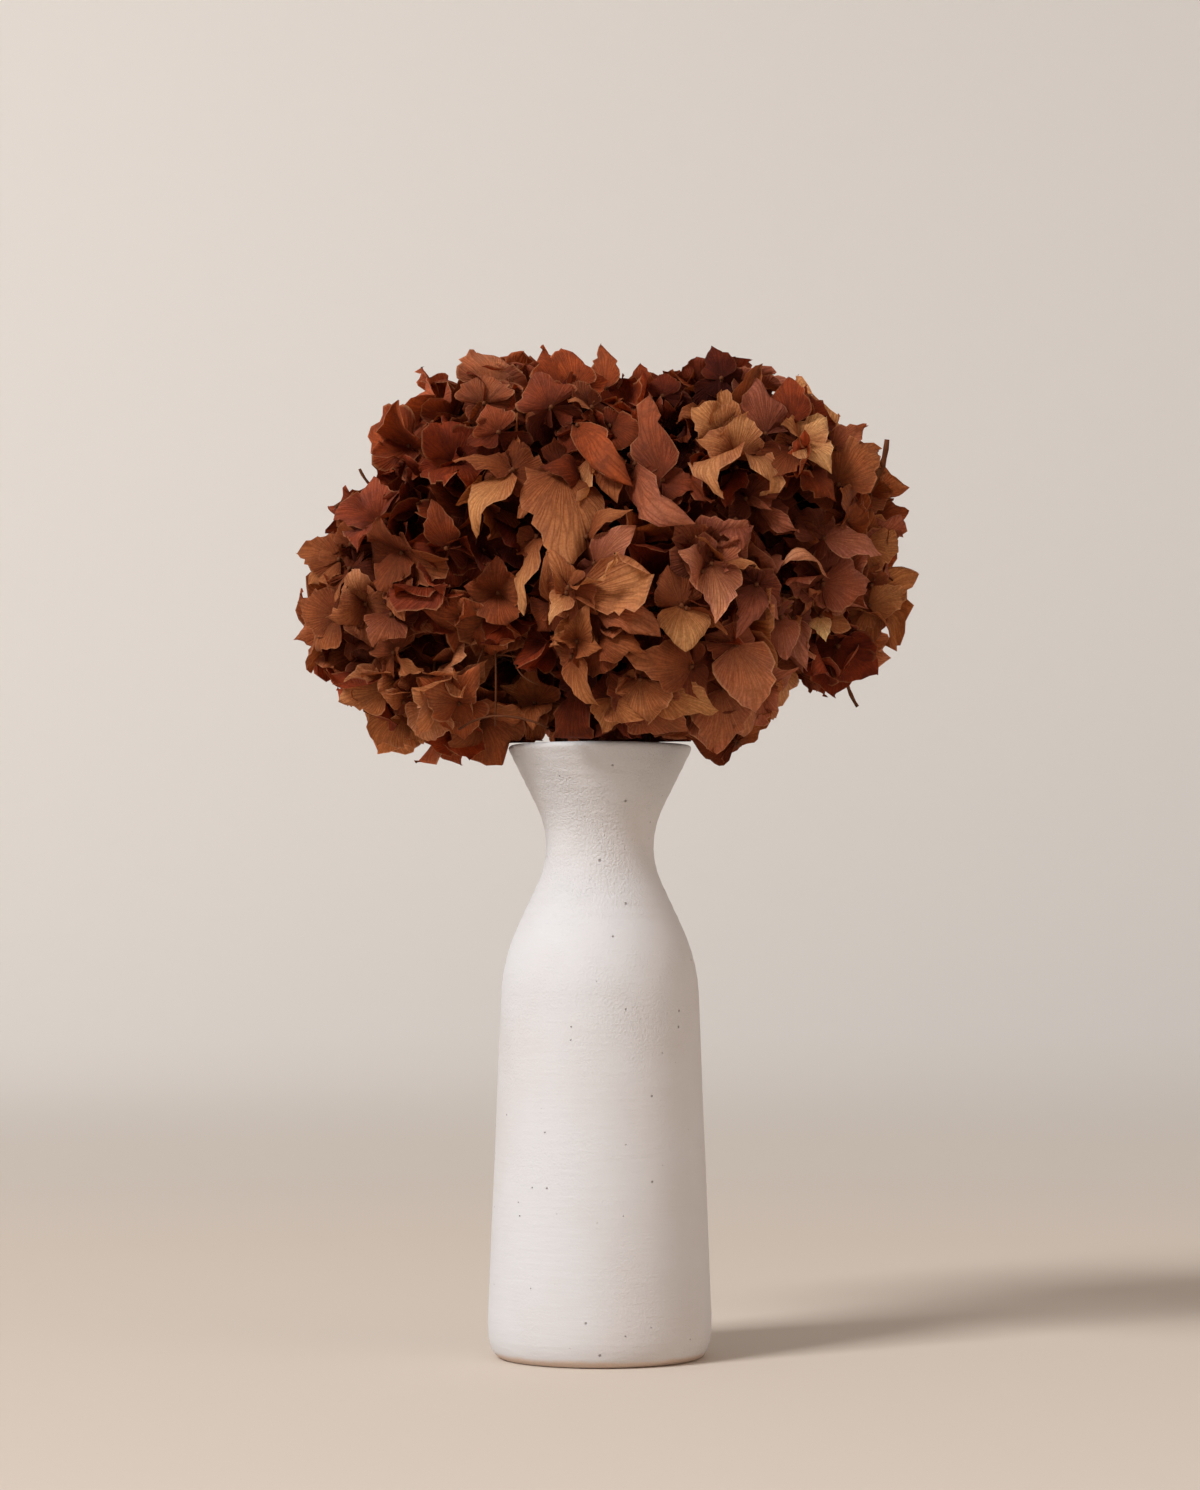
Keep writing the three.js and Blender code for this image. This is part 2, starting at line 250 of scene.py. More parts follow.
def matteStoneware():
    # Stoneware thrown on a wheel under a thin matte white glaze: a dull, chalky white with pinholes
    # where gas left the clay, sandy patches and a bare foot where the glaze was wiped off.
    material, tree = newMaterial("matteGlazedStoneware")
    place = addNode(tree, "TexCoord").outputs["Object"]
    height = addNode(tree, "SeparateXYZ", {"Vector": place}).outputs["Z"]

    # glaze that breaks warmer where it is thin, over patches about 60 mm wide
    patches = addNode(tree, "TexNoise", {"Vector": place, "Scale": 16, "Detail": 3, "Roughness": 0.55})
    warm = addNode(tree, "MapRange", {"Value": patches, "From Min": 0.42, "From Max": 0.7, "To Max": 0.55})
    glaze = addNode(tree, "Mix", {
        0: warm, 6: linear(vase["clay"]), 7: linear(vase["clayWarm"]),
    }, data_type="RGBA")

    # pinholes up to 1.3 mm wide, most of them far smaller, here and there in the wall
    cells = addNode(tree, "TexVoronoi", {"Vector": place, "Scale": 185})
    sizes = addNode(tree, "SeparateColor", {"Color": cells.outputs["Color"]})
    mostSmall = addNode(tree, "Math", {0: sizes.outputs["Red"], 1: 2.4}, operation="POWER")
    reach = addNode(tree, "MapRange", {"Value": mostSmall, "From Min": 0.12, "To Max": 0.11})
    hole = addNode(tree, "Math", {0: cells, 1: reach}, operation="SUBTRACT")
    pinhole = addNode(tree, "MapRange", {
        "Value": hole, "From Min": -0.03, "From Max": 0.012, "To Min": 1.0, "To Max": 0.0,
    })
    depth = addNode(tree, "Math", {0: pinhole, 1: 0.68}, operation="MULTIPLY")
    pitted = addNode(tree, "Mix", {0: depth, 6: glaze, 7: linear(vase["pit"])}, data_type="RGBA")

    # the bare foot, with a wavering edge
    waver = addNode(tree, "TexNoise", {"Vector": place, "Scale": 55, "Detail": 2})
    edge = addNode(tree, "MapRange", {"Value": waver, "To Min": -1.6 * mm, "To Max": 1.6 * mm})
    above = addNode(tree, "Math", {0: height, 1: edge}, operation="ADD")
    bare = addNode(tree, "MapRange", {
        "Value": above, "From Min": vase["footBand"] - 0.5 * mm, "From Max": vase["footBand"] + 0.9 * mm,
        "To Min": 1.0, "To Max": 0.0,
    })
    colour = addNode(tree, "Mix", {0: bare, 6: pitted, 7: linear(vase["foot"])}, data_type="RGBA")

    # sandy grains of about 1 mm, in patches and coarser up the neck, over a tooth of about 0.5 mm,
    # which is drawn coarser than the real one
    grains = addNode(tree, "TexNoise", {"Vector": place, "Scale": 980, "Detail": 3, "Roughness": 0.6})
    sandPatch = addNode(tree, "TexNoise", {"Vector": place, "Scale": 24, "Detail": 2})
    sandy = addNode(tree, "MapRange", {
        "Value": sandPatch, "From Min": 0.45, "From Max": 0.65, "To Min": 0.25,
    })
    neckward = addNode(tree, "MapRange", {
        "Value": height, "From Min": 100 * mm, "From Max": 235 * mm, "To Min": 0.3, "To Max": 1.2,
    })
    coarse = addNode(tree, "Math", {0: sandy, 1: neckward}, operation="MULTIPLY")
    sand = addNode(tree, "Math", {0: grains, 1: coarse}, operation="MULTIPLY")
    tooth = addNode(tree, "TexNoise", {"Vector": place, "Scale": 1900, "Detail": 2})
    # streaks that the fingers and the wheel left, about 2 mm high and long round the wall
    flat = addNode(tree, "Mapping", {"Vector": place, "Scale": (0.12, 0.12, 1.0)})
    streaks = addNode(tree, "TexNoise", {"Vector": flat, "Scale": 420, "Detail": 2})
    roundWall = addNode(tree, "Bump", {"Height": streaks, "Strength": 0.45, "Distance": 0.35 * mm})
    sanded = addNode(tree, "Bump", {
        "Height": sand, "Strength": 1.0, "Distance": 0.75 * mm, "Normal": roundWall,
    })
    fine = addNode(tree, "Bump", {
        "Height": tooth, "Strength": 0.35, "Distance": 0.12 * mm, "Normal": sanded,
    })
    sunk = addNode(tree, "Bump", {
        "Height": pinhole, "Strength": 1.0, "Distance": 0.5 * mm, "Normal": fine,
    }, invert=True)
    dry = addNode(tree, "MapRange", {"Value": bare, "To Min": 0.72, "To Max": 0.92})
    shader = addNode(tree, "BsdfPrincipled", {
        "Base Color": colour, "Roughness": dry, "IOR": 1.5, "Specular IOR Level": 0.35, "Normal": sunk,
    })
    addNode(tree, "OutputMaterial", {"Surface": shader})
    return material


buildVase()

# ---- hydrangea heads

# Centres, radii and leans are in mm, as the solids have them. turn is where the stem passes the
# vase's neck, in degrees.
heads = [
    {"name": "lower_right", "centre": (69, 14, 328), "radius": 56, "lean": (0.8, 0.25, 0.55), "turn": 30},
    {"name": "back", "centre": (2, 44, 322), "radius": 62, "lean": (0, 0.8, 0.6), "turn": 90},
    {"name": "lower_left", "centre": (-62, 4, 313), "radius": 60, "lean": (-0.85, 0.05, 0.5), "turn": 150},
    {"name": "upper_left", "centre": (-31, -12, 352), "radius": 66, "lean": (-0.35, -0.2, 0.9), "turn": 210},
    {"name": "front", "centre": (18, -40, 312), "radius": 62, "lean": (0.1, -0.86, 0.5), "turn": 270},
    {"name": "upper_right", "centre": (54, -9, 354), "radius": 62, "lean": (0.45, -0.15, 0.88), "turn": 330},
]
for one in heads:
    one["centre"] = Vector(one["centre"]) * mm
    one["radius"] *= mm
    one["lean"] = Vector(one["lean"]).normalized()

bloom = {
    "eyes": 0.8,  # the outer florets' eyes, in head radii
    "fillerEyes": 0.7,  # those of the florets between them
    "innerEyes": 0.6,  # those of the florets in the gaps behind
    "showEyes": 0.94,  # those of the florets that are listed one by one, and their sepals' tips
    "showTips": 1.05,
    "underside": 130,  # degrees from the lean
    "floretArea": 1360 * mm * mm,  # that one floret covers, as on the solids
    "fillerArea": 1000 * mm * mm,
    "innerArea": 1000 * mm * mm,
    # how dark the inner layer is painted, as painted shade
    "innerShade": 0.7,
    "bridgeStep": 26 * mm,  # between the florets that close the creases between the heads
    "bridgeHead": 0.95,  # two heads whose crease is farther out, in radii, need none
    "valley": 4 * mm,  # how far past the crease an eye may be before its floret is left out
    "disorder": 0.85,  # how far a floret faces aside
    "oddSepals": 0.35,  # the share of sepals that dry in another way than their floret's
    "round": 1.03,  # a sepal is pressed in from here, in head radii
    "pressed": 0.8,  # how much of what stands out past that is left
    "top": 410 * mm,  # the bouquet is flatter from here up
    "levelled": 0.4,
    "gap": 0.5 * mm,
    "rimGap": 1.2 * mm,  # a sepal keeps this clear of the vase's rim
    "rimReach": 42 * mm,
    "besideRim": 40 * mm,
    "clearing": 4.5 * mm,  # kept free round a floret that is listed one by one
    "denseLeft": -50 * mm,  # where less is kept free
    "twig": 0.62,  # the stem's tip, in head radii behind the centre
    "branches": 12,
    "forks": 0.26,  # where the branches fork, in head radii
    "bud": 1.1 * mm,
}

sepalShape = {
    "length": 23 * mm,
    "halfWidth": 0.6,  # in its lengths
    "teeth": 0.24,  # how deep they are cut, in half widths, and how far along they begin
    "toothed": 0.3,
    "rollFrom": 0.3,  # where its margins begin to roll, from the midline out
    "tipFrom": 0.6,  # where its tip begins to curl
    "crumple": 1.2 * mm,  # how far it is creased, and in how many folds a metre
    "crumples": 130,
    "warp": 2.4 * mm,
    "warps": 60,
    "across": 6,
    "along": 10,
}

# How light a sepal is painted, as painted shade and light: deep in the gaps, where shade falls,
# how much lighter it is painted there on the left and at the top of the bouquet, where more light
# reaches, out in the open, and by its eye, where it is painted darker as shade. The gaps end at "gapFoot",
# in head radii.
shading = {
    "deep": 0.31,
    "left": 0.09,
    "leftReach": 80 * mm,
    "top": 0.14,
    "topFrom": 375 * mm,
    "topReach": 20 * mm,
    "open": 1.07,
    "gapFoot": 0.6,
    "gapDepth": 0.38,
    "gapBend": 1.7,
    "eye": 0.4,
    "eyeReach": 0.65,  # in sepal lengths
}

sepalLook = {
    "rust": "#a8451d",
    "darkRust": "#762a11",
    "tan": "#cf9058",
    "mauve": "#ad6651",
    "vein": "#4f1d0d",
    "veins": 0.35,  # how strongly they show
    # the painted highlight along the very margin
    "margin": "#e3a878",
    "glow": "#ffd9a8",
}

# The florets that catch the eye on the front, as (eye, colour, how far it stands
# out, sepals), in mm. The eye is across and up, and the colour is how tan, mauve and light it is.
# A sepal is where its tip lies, across and up, its width, how far it tilts and arches in degrees,
# how much its margins come forwards, and for a blunt one how pointed it is.
# The colour's lightness is partly the floret's own tone and partly painted light and shade.
showFlorets = [
    ((-15, 362), (0.85, 0.2, 0.91), 2, [(-13, 320, 25, -6, -14, -0.3)]),
    ((-13, 360), (0.7, 0.2, 0.8), 0, [(-33, 343, 20, 10, -25, -0.3)]),
    ((-4, 370), (0.95, 0.2, 1), 0, [(-5, 349, 10, 40, 20, 0.7)]),
    ((-7, 359), (0.1, 0, 0.68), 0, [(-23, 361, 14, 20, -40, -0.4)]),
    ((-13, 310), (0.95, 0.2, 0.88), 8, [
        (21, 316, 22, -10, 22, 0.4, 0.4), (-24, 325, 11, 25, -30, -0.8), (-22, 298, 9, 10, -40, -0.9),
    ]),
    ((-12, 312), (1, 0.1, 0.9), 11, [(6, 325, 8, 45, -30, -0.9)]),
    ((-2, 322), (0.45, 0.8, 0.96), 0, [(15, 333, 12, -15, -20, -0.3)]),
    ((-1, 303), (0.4, 0.35, 0.68), 0, [(24, 296, 15, -10, -35, -0.6, 0.65)]),
    ((-1, 292), (0.6, 0, 0.64), 0, [(20, 287, 14, -15, -30, -0.5)]),
    ((-5, 333), (0.8, 0.1, 0.81), 0, [(13, 343, 8, -25, -40, -0.4)]),
    ((14, 364), (0.4, 0.8, 0.92), 4, [(33, 333, 16, 25, -25, -0.7, 0.6)]),
    ((1, 368), (0.5, 0, 0.68), 0, [(13, 347, 13, 15, -10, 0.4)]),
    ((-9, 381), (0.1, 0, 0.96), 0, [(17, 355, 15, 20, -35, -0.5, 0.7)]),
    ((25, 357), (0.15, 0.25, 1.03), 0, [(21, 402, 14, -25, -20, -0.4)]),
    ((4, 382), (0.1, 0, 0.75), 0, [(19, 374, 12, 10, -40, -0.3)]),
    ((55, 369), (0.94, 0.22, 1.04), 0, [
        (47, 348, 19, 25, -60, -0.4), (64, 351, 12, -35, -75, -0.3), (58, 386, 14, 0, -30, 0.2),
        (39, 375, 14, 10, -40, -0.3),
    ]),
    ((50, 377), (0.82, 0, 0.88), 0, [(36, 388, 15, 10, -35, -0.4), (49, 396, 11, 20, -20, 0.3)]),
    ((55, 363), (0.05, 0, 0.49), 0, [(51, 344, 10, 30, 10, 0.5)]),
    ((40, 369), (0.1, 0, 0.75), 0, [(45, 348, 8, 40, -30, -0.3)]),
    ((67, 378), (0.25, 0.95, 0.96), 0, [(65, 402, 18, 5, -15, -0.3)]),
    ((56, 384), (0.35, 0.1, 0.81), 0, [(64, 415, 12, 35, 10, 0.8)]),
    ((78, 383), (0.05, 0, 0.68), 0, [(76, 403, 14, -15, -20, -0.3)]),
    ((82, 386), (0.05, 0, 0.83), 0, [(82, 400, 10, -30, -10, -0.3)]),
    ((82, 376), (0.93, 0.1, 1.13), 0, [
        (72, 383, 13, 20, -15, 0.2), (92, 388, 12, -15, -20, -0.3), (93, 363, 14, -15, -25, -0.4),
    ]),
    ((82, 373), (0.1, 0, 1.3), 0, [(77, 357, 12, 30, 10, 0.5)]),
    ((77, 372), (0.6, 0, 0.49), 0, [(67, 355, 16, 15, -20, 0.4)]),
    ((97, 359), (0.45, 0, 0.75), 0, [(115, 377, 19, -20, -30, -0.4)]),
    ((95, 375), (0.3, 0.5, 0.83), 0, [(111, 386, 8, -10, -10, 0.4)]),
    ((101, 346), (0.55, 0, 0.75), 0, [(97, 357, 14, 10, -20, 0.2)]),
    ((44, 322), (0.7, 0.75, 1.12), 0, [(49, 298, 16, 5, -25, -0.6)]),
    ((48, 323), (0.75, 0.15, 0.93), 0, [(63, 320, 7, -30, -30, -0.8), (38, 332, 6, 50, -10, 0.4)]),
    ((40, 319), (0.5, 0.8, 0.96), 0, [(31, 326, 13, 15, -35, -0.5)]),
    ((32, 305), (0.88, 0.05, 0.88), 0, [(33, 286, 18, -10, -20, -0.5)]),
    ((34, 304), (0.6, 0, 0.68), 0, [(49, 293, 9, 30, 30, 0.9)]),
    ((62, 315), (0.2, 0.95, 0.85), 0, [(58, 292, 11, 15, -25, -0.4)]),
    ((63, 313), (0.25, 0.9, 0.92), 0, [(71, 302, 9, -20, -20, -0.4)]),
    ((73, 304), (0.3, 0.95, 1), 0, [(75, 286, 11, 20, -30, -0.6)]),
    ((78, 306), (0.3, 0.95, 1.09), 0, [(85, 286, 12, 10, -25, -0.5)]),
    ((79, 306), (0.55, 0.75, 1.27), 0, [(89, 289, 8, 40, -20, -0.3)]),
    ((54, 341), (0.2, 0.95, 0.81), 0, [(58, 328, 11, 15, -20, -0.4)]),
    ((59, 351), (0.3, 0.7, 0.88), 0, [(68, 346, 3, 0, -10, -0.4)]),
    ((65, 348), (0.3, 0.8, 0.88), 0, [(79, 337, 6, 20, -20, -0.4)]),
    ((91, 322), (0.5, 0.6, 1.25), 0, [(71, 326, 12, 40, -40, -0.6)]),
    ((91, 320), (0.2, 0.8, 1.07), 0, [(72, 313, 14, -20, 30, 0.9), (112, 319, 19, -10, -20, -0.2)]),
    ((91, 319), (0.2, 0.7, 0.94), 0, [(89, 309, 16, 10, 20, 0.5)]),
    ((91, 337), (0.35, 0.95, 1.29), 0, [(118, 332, 11, -15, -25, -0.6)]),
    ((109, 338), (0.65, 0, 0.86), 0, [(127, 338, 17, -15, -20, -0.4)]),
    ((91, 307), (1, 0.1, 1.3), 0, [(92, 295, 7, 10, -10, -0.3)]),
    ((112, 313), (0.7, 0, 1.2), 0, [(131, 320, 12, -15, -15, 0.2)]),
    ((116, 316), (0.5, 0, 0.86), 0, [(112, 291, 11, 30, -20, -0.4)]),
    ((99, 296), (0, 0, 0.52), 0, [(99, 275, 25, 5, -20, -0.3), (116, 282, 18, -15, -20, -0.3)]),
    ((116, 352), (0.25, 0, 0.61), 0, [(133, 355, 16, -15, -15, -0.3)]),
    ((83, 364), (0.1, 0, 0.67), 0, [(95, 352, 12, -10, -20, -0.3)]),
    ((113, 322), (0.3, 0, 0.77), 0, [(116, 329, 11, -10, -20, -0.3)]),
    ((22, 274), (1, 0.05, 1.03), 0, [(48, 266, 16, -5, -20, -0.4)]),
    ((16, 268), (0.35, 0.25, 0.81), 0, [(35, 257, 22, 5, -15, -0.2)]),
    ((54, 291), (0.35, 0.45, 1.2), 0, [(61, 264, 19, 5, -22, -0.3, 1.1)]),
    ((73, 287), (0.7, 0.3, 1.17), 0, [(72, 267, 13, -10, -15, 0.2)]),
    ((49, 274), (0.4, 0.45, 0.81), 0, [(49, 246, 19, 5, -8, -0.2)]),
    ((56, 274), (0.6, 0.6, 1.17), 0, [(59, 254, 15, -10, -25, -0.5)]),
    ((56, 254), (0.6, 0, 0.63), 0, [(71, 266, 11, -10, 10, 0.3)]),
    ((36, 282), (0.5, 0.2, 0.68), 0, [(8, 281, 15, 10, -35, -0.6)]),
    ((5, 270), (0.65, 0, 0.75), 0, [(3, 256, 12, 0, -10, -0.3), (16, 260, 12, 0, -20, -0.3)]),
    ((16, 277), (0.45, 0.1, 0.81), 0, [(19, 260, 17, 10, -25, -0.4)]),
    ((-9, 292), (0.7, 0, 0.71), 0, [
        (2, 287, 9, -10, -10, 0.2), (-3, 305, 9, -15, -15, -0.2), (-13, 300, 9, 20, -10, 0.3),
        (-19, 292, 6, 20, -10, 0.3),
    ]),
    ((-11, 286), (0.8, 0, 0.77), 0, [(-1, 265, 10, 25, -15, 0.3)]),
    ((-25, 335), (0.9, 0.1, 0.96), 0, [(-29, 303, 12, 25, -20, -0.6)]),
    ((-19, 307), (0.45, 0, 0.88), 0, [(-19, 336, 10, 20, -20, -0.8)]),
    ((-36, 361), (0.9, 0, 0.95), 0, [(-51, 335, 17, 25, -30, -0.5)]),
    ((-35, 362), (0.7, 0.1, 0.75), 0, [(-58, 366, 10, 20, -20, -0.4)]),
    ((-62, 332), (0.1, 0.1, 1.11), 0, [(-66, 349, 10, 15, -15, -0.3)]),
    ((-41, 314), (0.25, 0, 0.54), 0, [
        (-56, 315, 16, 10, -20, -0.2), (-40, 298, 18, 0, -25, -0.2), (-30, 318, 14, -10, -20, -0.2),
        (-44, 327, 14, 0, -25, -0.2),
    ]),
    ((-58, 271), (0.18, 0.03, 0.96), 0, [
        (-73, 279, 17, 15, -20, -0.3), (-54, 256, 16, -10, -20, 0.3), (-52, 287, 11, -10, -15, -0.3),
    ]),
    ((-69, 270), (0.5, 0.35, 0.88), 0, [(-73, 255, 17, 5, -25, -0.4)]),
    ((-84, 291), (0.6, 0, 0.81), 0, [(-73, 282, 8, 20, -20, 0.4)]),
    ((-85, 306), (0.45, 0.55, 0.88), 0, [(-91, 292, 14, 10, -20, -0.4)]),
    ((-81, 321), (0.5, 0.2, 0.86), 0, [(-79, 303, 11, 15, -25, -0.5)]),
    ((-103, 326), (0.65, 0.1, 0.88), 0, [(-110, 312, 7, 30, -20, -0.3)]),
    ((-81, 272), (0.4, 0.1, 0.88), 0, [(-91, 276, 7, 15, -30, -0.4)]),
    ((-108, 331), (0.68, 0, 0.86), 0, [
        (-127, 338, 13, 10, -15, 0.2), (-120, 322, 14, 15, -20, -0.3), (-118, 342, 11, 15, -20, -0.3),
    ]),
    ((-108, 307), (0.48, 0, 0.76), 0, [(-127, 312, 15, 10, -25, -0.3), (-119, 293, 18, 10, -25, -0.3)]),
    ((-88, 277), (0.45, 0, 0.96), 0, [(-108, 273, 17, 10, -25, -0.4)]),
    ((-103, 337), (0.3, 0, 0.88), 0, [(-107, 348, 10, 20, -20, -0.3)]),
    ((-44, 399), (0.3, 0.4, 0.96), 0, [(-48, 417, 22, 5, -30, -0.4)]),
    ((-47, 391), (0.3, 0.4, 0.91), 0, [(-47, 404, 18, 5, -20, -0.3)]),
    ((-20, 389), (0.05, 0.4, 0.75), 0, [(-27, 403, 20, 5, -25, -0.4)]),
    ((-17, 399), (0.05, 0, 0.81), 0, [(-24, 417, 16, 10, -15, -0.3)]),
    ((-11, 399), (0.05, 0, 0.88), 0, [(-14, 419, 16, -10, -15, -0.3)]),
    ((2, 401), (0.1, 0, 0.81), 0, [(5, 422, 10, -15, -15, -0.3)]),
    ((0, 406), (0.1, 0.1, 0.75), 0, [(0, 417, 8, 10, -15, -0.3)]),
    ((17, 402), (0.05, 0, 0.75), 0, [(16, 416, 11, 0, -15, -0.3)]),
    ((26, 397), (0, 0.2, 0.43), 0, [(24, 409, 11, 0, -10, -0.3)]),
    ((-4, 390), (0.4, 0.2, 0.81), 0, [(-14, 391, 8, 10, -20, -0.4)]),
    ((-41, 378), (0.1, 0.2, 0.81), 0, [(-47, 389, 14, 10, -20, -0.3)]),
    ((50, 404), (0, 0.2, 0.38), 0, [(46, 420, 11, 0, -10, -0.3)]),
    ((-9, 277), (0.1, 0, 0.52), -24, [(-9, 252, 15, 0, -35, -0.7, 0.45)]),
    ((8, 277), (0.05, 0.1, 0.5), -24, [(10, 252, 9, 0, -20, -0.9)]),
    ((-27, 276), (0.3, 0, 0.62), -26, [(-28, 253, 14, 0, -20, 0.3)]),
]

# Florets that hang low by the vase's rim: their head, place in mm, the way they face and colour.
hangers = [
    ("lower_left", (-50, -18, 268), (-0.3, -0.8, -0.3), (0.3, 0.0, 0.8)),
    ("lower_left", (-40, -6, 264), (0.1, -0.7, -0.5), (0.5, 0.0, 0.65)),
    ("front", (-27, -22, 271), (-0.4, -0.8, -0.2), (0.5, 0.0, 0.65)),
    ("front", (48, -50, 273), (0.3, -0.8, -0.4), (0.3, 0.5, 1.0)),
    ("front", (64, -34, 279), (0.6, -0.6, -0.3), (0.2, 0.6, 0.9)),
    ("lower_right", (92, -8, 289), (0.5, -0.6, -0.4), (0.0, 0.3, 0.8)),
    ("lower_right", (112, 4, 318), (0.8, -0.5, -0.2), (0.6, 0.0, 0.95)),
    ("lower_left", (-68, -24, 294), (-0.2, -0.95, 0.0), (0.1, 0.1, 0.55)),
    ("lower_left", (-80, -10, 270), (-0.4, -0.7, -0.4), (0.45, 0.0, 0.85)),
    ("front", (4, -4, 267), (-0.2, -0.8, -0.4), (0.1, 0.0, 0.4)),
    ("front", (24, -6, 268), (0.2, -0.8, -0.4), (0.1, 0.2, 0.45)),
    ("back", (12, 20, 267), (0.0, -0.9, -0.2), (0.1, 0.0, 0.4)),
    ("back", (-12, 18, 266), (0.0, -0.9, -0.2), (0.2, 0.0, 0.4)),
]

showShape = {
    "width": 0.72,  # half widths, tilts, arches and margins are given in round numbers and scaled
    "tilt": 1.6,
    "arch": 2.8,
    "bend": 2.6,
    "loose": 0.35,  # how much of a dry sepal's random form a flat one keeps, and a bent one more
    "looser": 0.6,
    "partner": 0.75,  # how large the sepals are that make up four
}

# How a floret has dried, in degrees: how far its sepals rise from the eye, and how they arch on.
habits = [
    {"rise": 22, "curl": -85},  # flat, with its tips drooping
    {"rise": 36, "curl": -110},  # arched over like a tent
    {"rise": 55, "curl": -75},
    {"rise": 64, "curl": 5},  # half closed
    {"rise": 28, "curl": 30},  # an open cup
]

# Sepals of one colour family gather in places: where on the front, in mm across and up, how far
# that reaches, and how tan and how mauve they are.
colourPlaces = [
    (4, 331, 19, 1.0, 0.05),
    (52, 383, 19, 1.0, 0.1),
    (87, 381, 12, 0.95, 0.1),
    (-16, 358, 17, 0.95, 0.0),
    (-44, 366, 15, 0.8, 0.0),
    (67, 303, 18, 0.85, 0.3),
    (22, 360, 15, 0.5, 0.95),
    (68, 399, 13, 0.2, 0.95),
    (51, 322, 16, 0.5, 0.9),
    (82, 300, 15, 0.3, 0.9),
    (105, 332, 17, 0.2, 0.85),
    (-4, 306, 15, 0.75, 0.15),
    (-30, 330, 13, 0.35, 0.0),
    (-86, 308, 13, 0.6, 0.4),
    (-72, 286, 13, 0.55, 0.3),
    (-112, 335, 14, 0.75, 0.0),
    (35, 278, 19, 0.7, 0.25),
    (57, 268, 16, 0.55, 0.45),
    (-60, 400, 16, 0.15, 0.35),
    (-22, 402, 14, 0.05, 0.45),
]

# Painted light and shade on the front: over 1 painted lighter, under 1 painted darker;
# across and up, how far, how much.
paintedLightPlaces = [
    (65, 360, 62, 0.82),
    (-20, 347, 46, 0.76),
    (-90, 328, 50, 0.62),
    (-78, 273, 45, 1.15),
    (-80, 388, 45, 0.87),
    (-20, 407, 35, 1.25),
    (75, 300, 50, 1.12),
]

# Where no floret stands, as (across, up, how wide) in mm: a dark hollow low on the front, and
# the dents in the bouquet's outline.
hollow = (-33, 286, 17)
dents = [
    (32, 413, 13), (-97, 387, 9), (84, 276, 16), (105, 396, 17), (-107, 363, 15), (-118, 288, 12),
    (122, 300, 15),
]

# Bare stalks in the hollow and broken twigs at the edge of the bouquet: the head, one end, a
# point that the stalk leans to, the other end, in mm, and the radius.
bareStalks = [
    ("front", (-43, -42, 297), (-42, -48, 280), (-43, -38, 261), 0.4),
    ("front", (-46, -42, 296), (-52, -48, 284), (-53, -38, 272), 0.35),
    ("front", (-43, -42, 290), (-27, -54, 289), (-18, -58, 280), 0.4),
    ("front", (-36, -42, 292), (-35, -52, 280), (-25, -54, 277), 0.35),
    ("front", (-58, -32, 260), (-44, -46, 270), (-21, -46, 260), 0.45),
    ("upper_right", (113, 2, 362), (120, -1, 370), (121, -4, 384), 1.5),
    ("lower_left", (-104, 0, 352), (-107, -6, 358), (-111, -8, 355), 0.9),
    ("lower_right", (103, -6, 284), (104, -6, 277), (108, -6, 271), 0.8),
    ("upper_left", (-94, -6, 362), (-99, -8, 366), (-101, -8, 371), 0.6),
]


def offPlace(point, x, z):
    # how far a point is from a place on the front
    return math.hypot(point.x - x * mm, point.z - z * mm)


def leftFree(eye):
    x, z, wide = hollow
    inside = offPlace(eye, x, z) < wide * mm and eye.y < -25 * mm
    return inside or any(offPlace(eye, x, z) < wide * mm for x, z, wide in dents)


def creaseReach(one, other):
    # how far from the centre of one head the plane lies where it presses on another
    way = other["centre"] - one["centre"]
    return way, (way.length_squared + one["radius"] ** 2 - other["radius"] ** 2) / (2 * way.length)


def headFaces(one):
    # two heads press on each other on a flat face, as (its direction, how far away it is)
    faces = []
    for other in heads:
        if other is not one:
            way, reach = creaseReach(one, other)
            if reach < one["radius"] * 1.3:
                faces.append((way.normalized(), reach - bloom["gap"] / 2))
    return faces


def evenDirections(one, area, phase=0.0):
    # directions spread as the seeds of a sunflower are, from the lean downwards
    count = round(4 * math.pi * one["radius"] ** 2 / area)
    goldenTurn = math.pi * (3 - math.sqrt(5))
    lowest = math.cos(math.radians(bloom["underside"]))
    toLean = upward.rotation_difference(one["lean"])
    for i in range(count):
        height = 1 - (2 * i + 1) / count
        if height <= lowest:
            break
        out = math.sqrt(1 - height * height)
        turn = i * goldenTurn + phase
        yield toLean @ Vector((out * math.cos(turn), out * math.sin(turn), height))


def standFloret(one, way, faces, row, eyes):
    # The same draws, in the same order, as for the solids: first the sepals, then the floret.
    sepals = []
    for i in range(4):
        sepals.append(
            {
                "turn": (i + between(row, -0.05, 0.05)) * math.pi / 2,
                "length": sepalShape["length"] * between(row, 0.85, 1.08),
                "cup": between(row, -0.25, 0.5),
                "twist": between(row, -0.12, 0.12),
                "fold": between(row, -0.08, 0.14),
            }
        )
    size = between(row, 0.88, 1.12)
    out = (eyes + between(row, -0.06, 0.08)) * one["radius"]
    spin = between(row, 0, 2 * math.pi)
    tilt = Vector([between(row, -0.4, 0.4) for _ in range(3)])
    stand = way * out
    push = Vector()
    for normal, reach in faces:
        over = stand.dot(normal) - reach
        if over > bloom["valley"]:
            return None
        # near a crease it stands back and faces over it
        stand += normal * min(0, -3 * mm - over)
        push += normal * min(1, max(0, over / sepalShape["length"] + 0.7))
    facing = (way + tilt + push * 0.6).normalized()
    return {"eye": one["centre"] + stand, "facing": facing, "spin": spin, "size": size, "sepals": sepals}


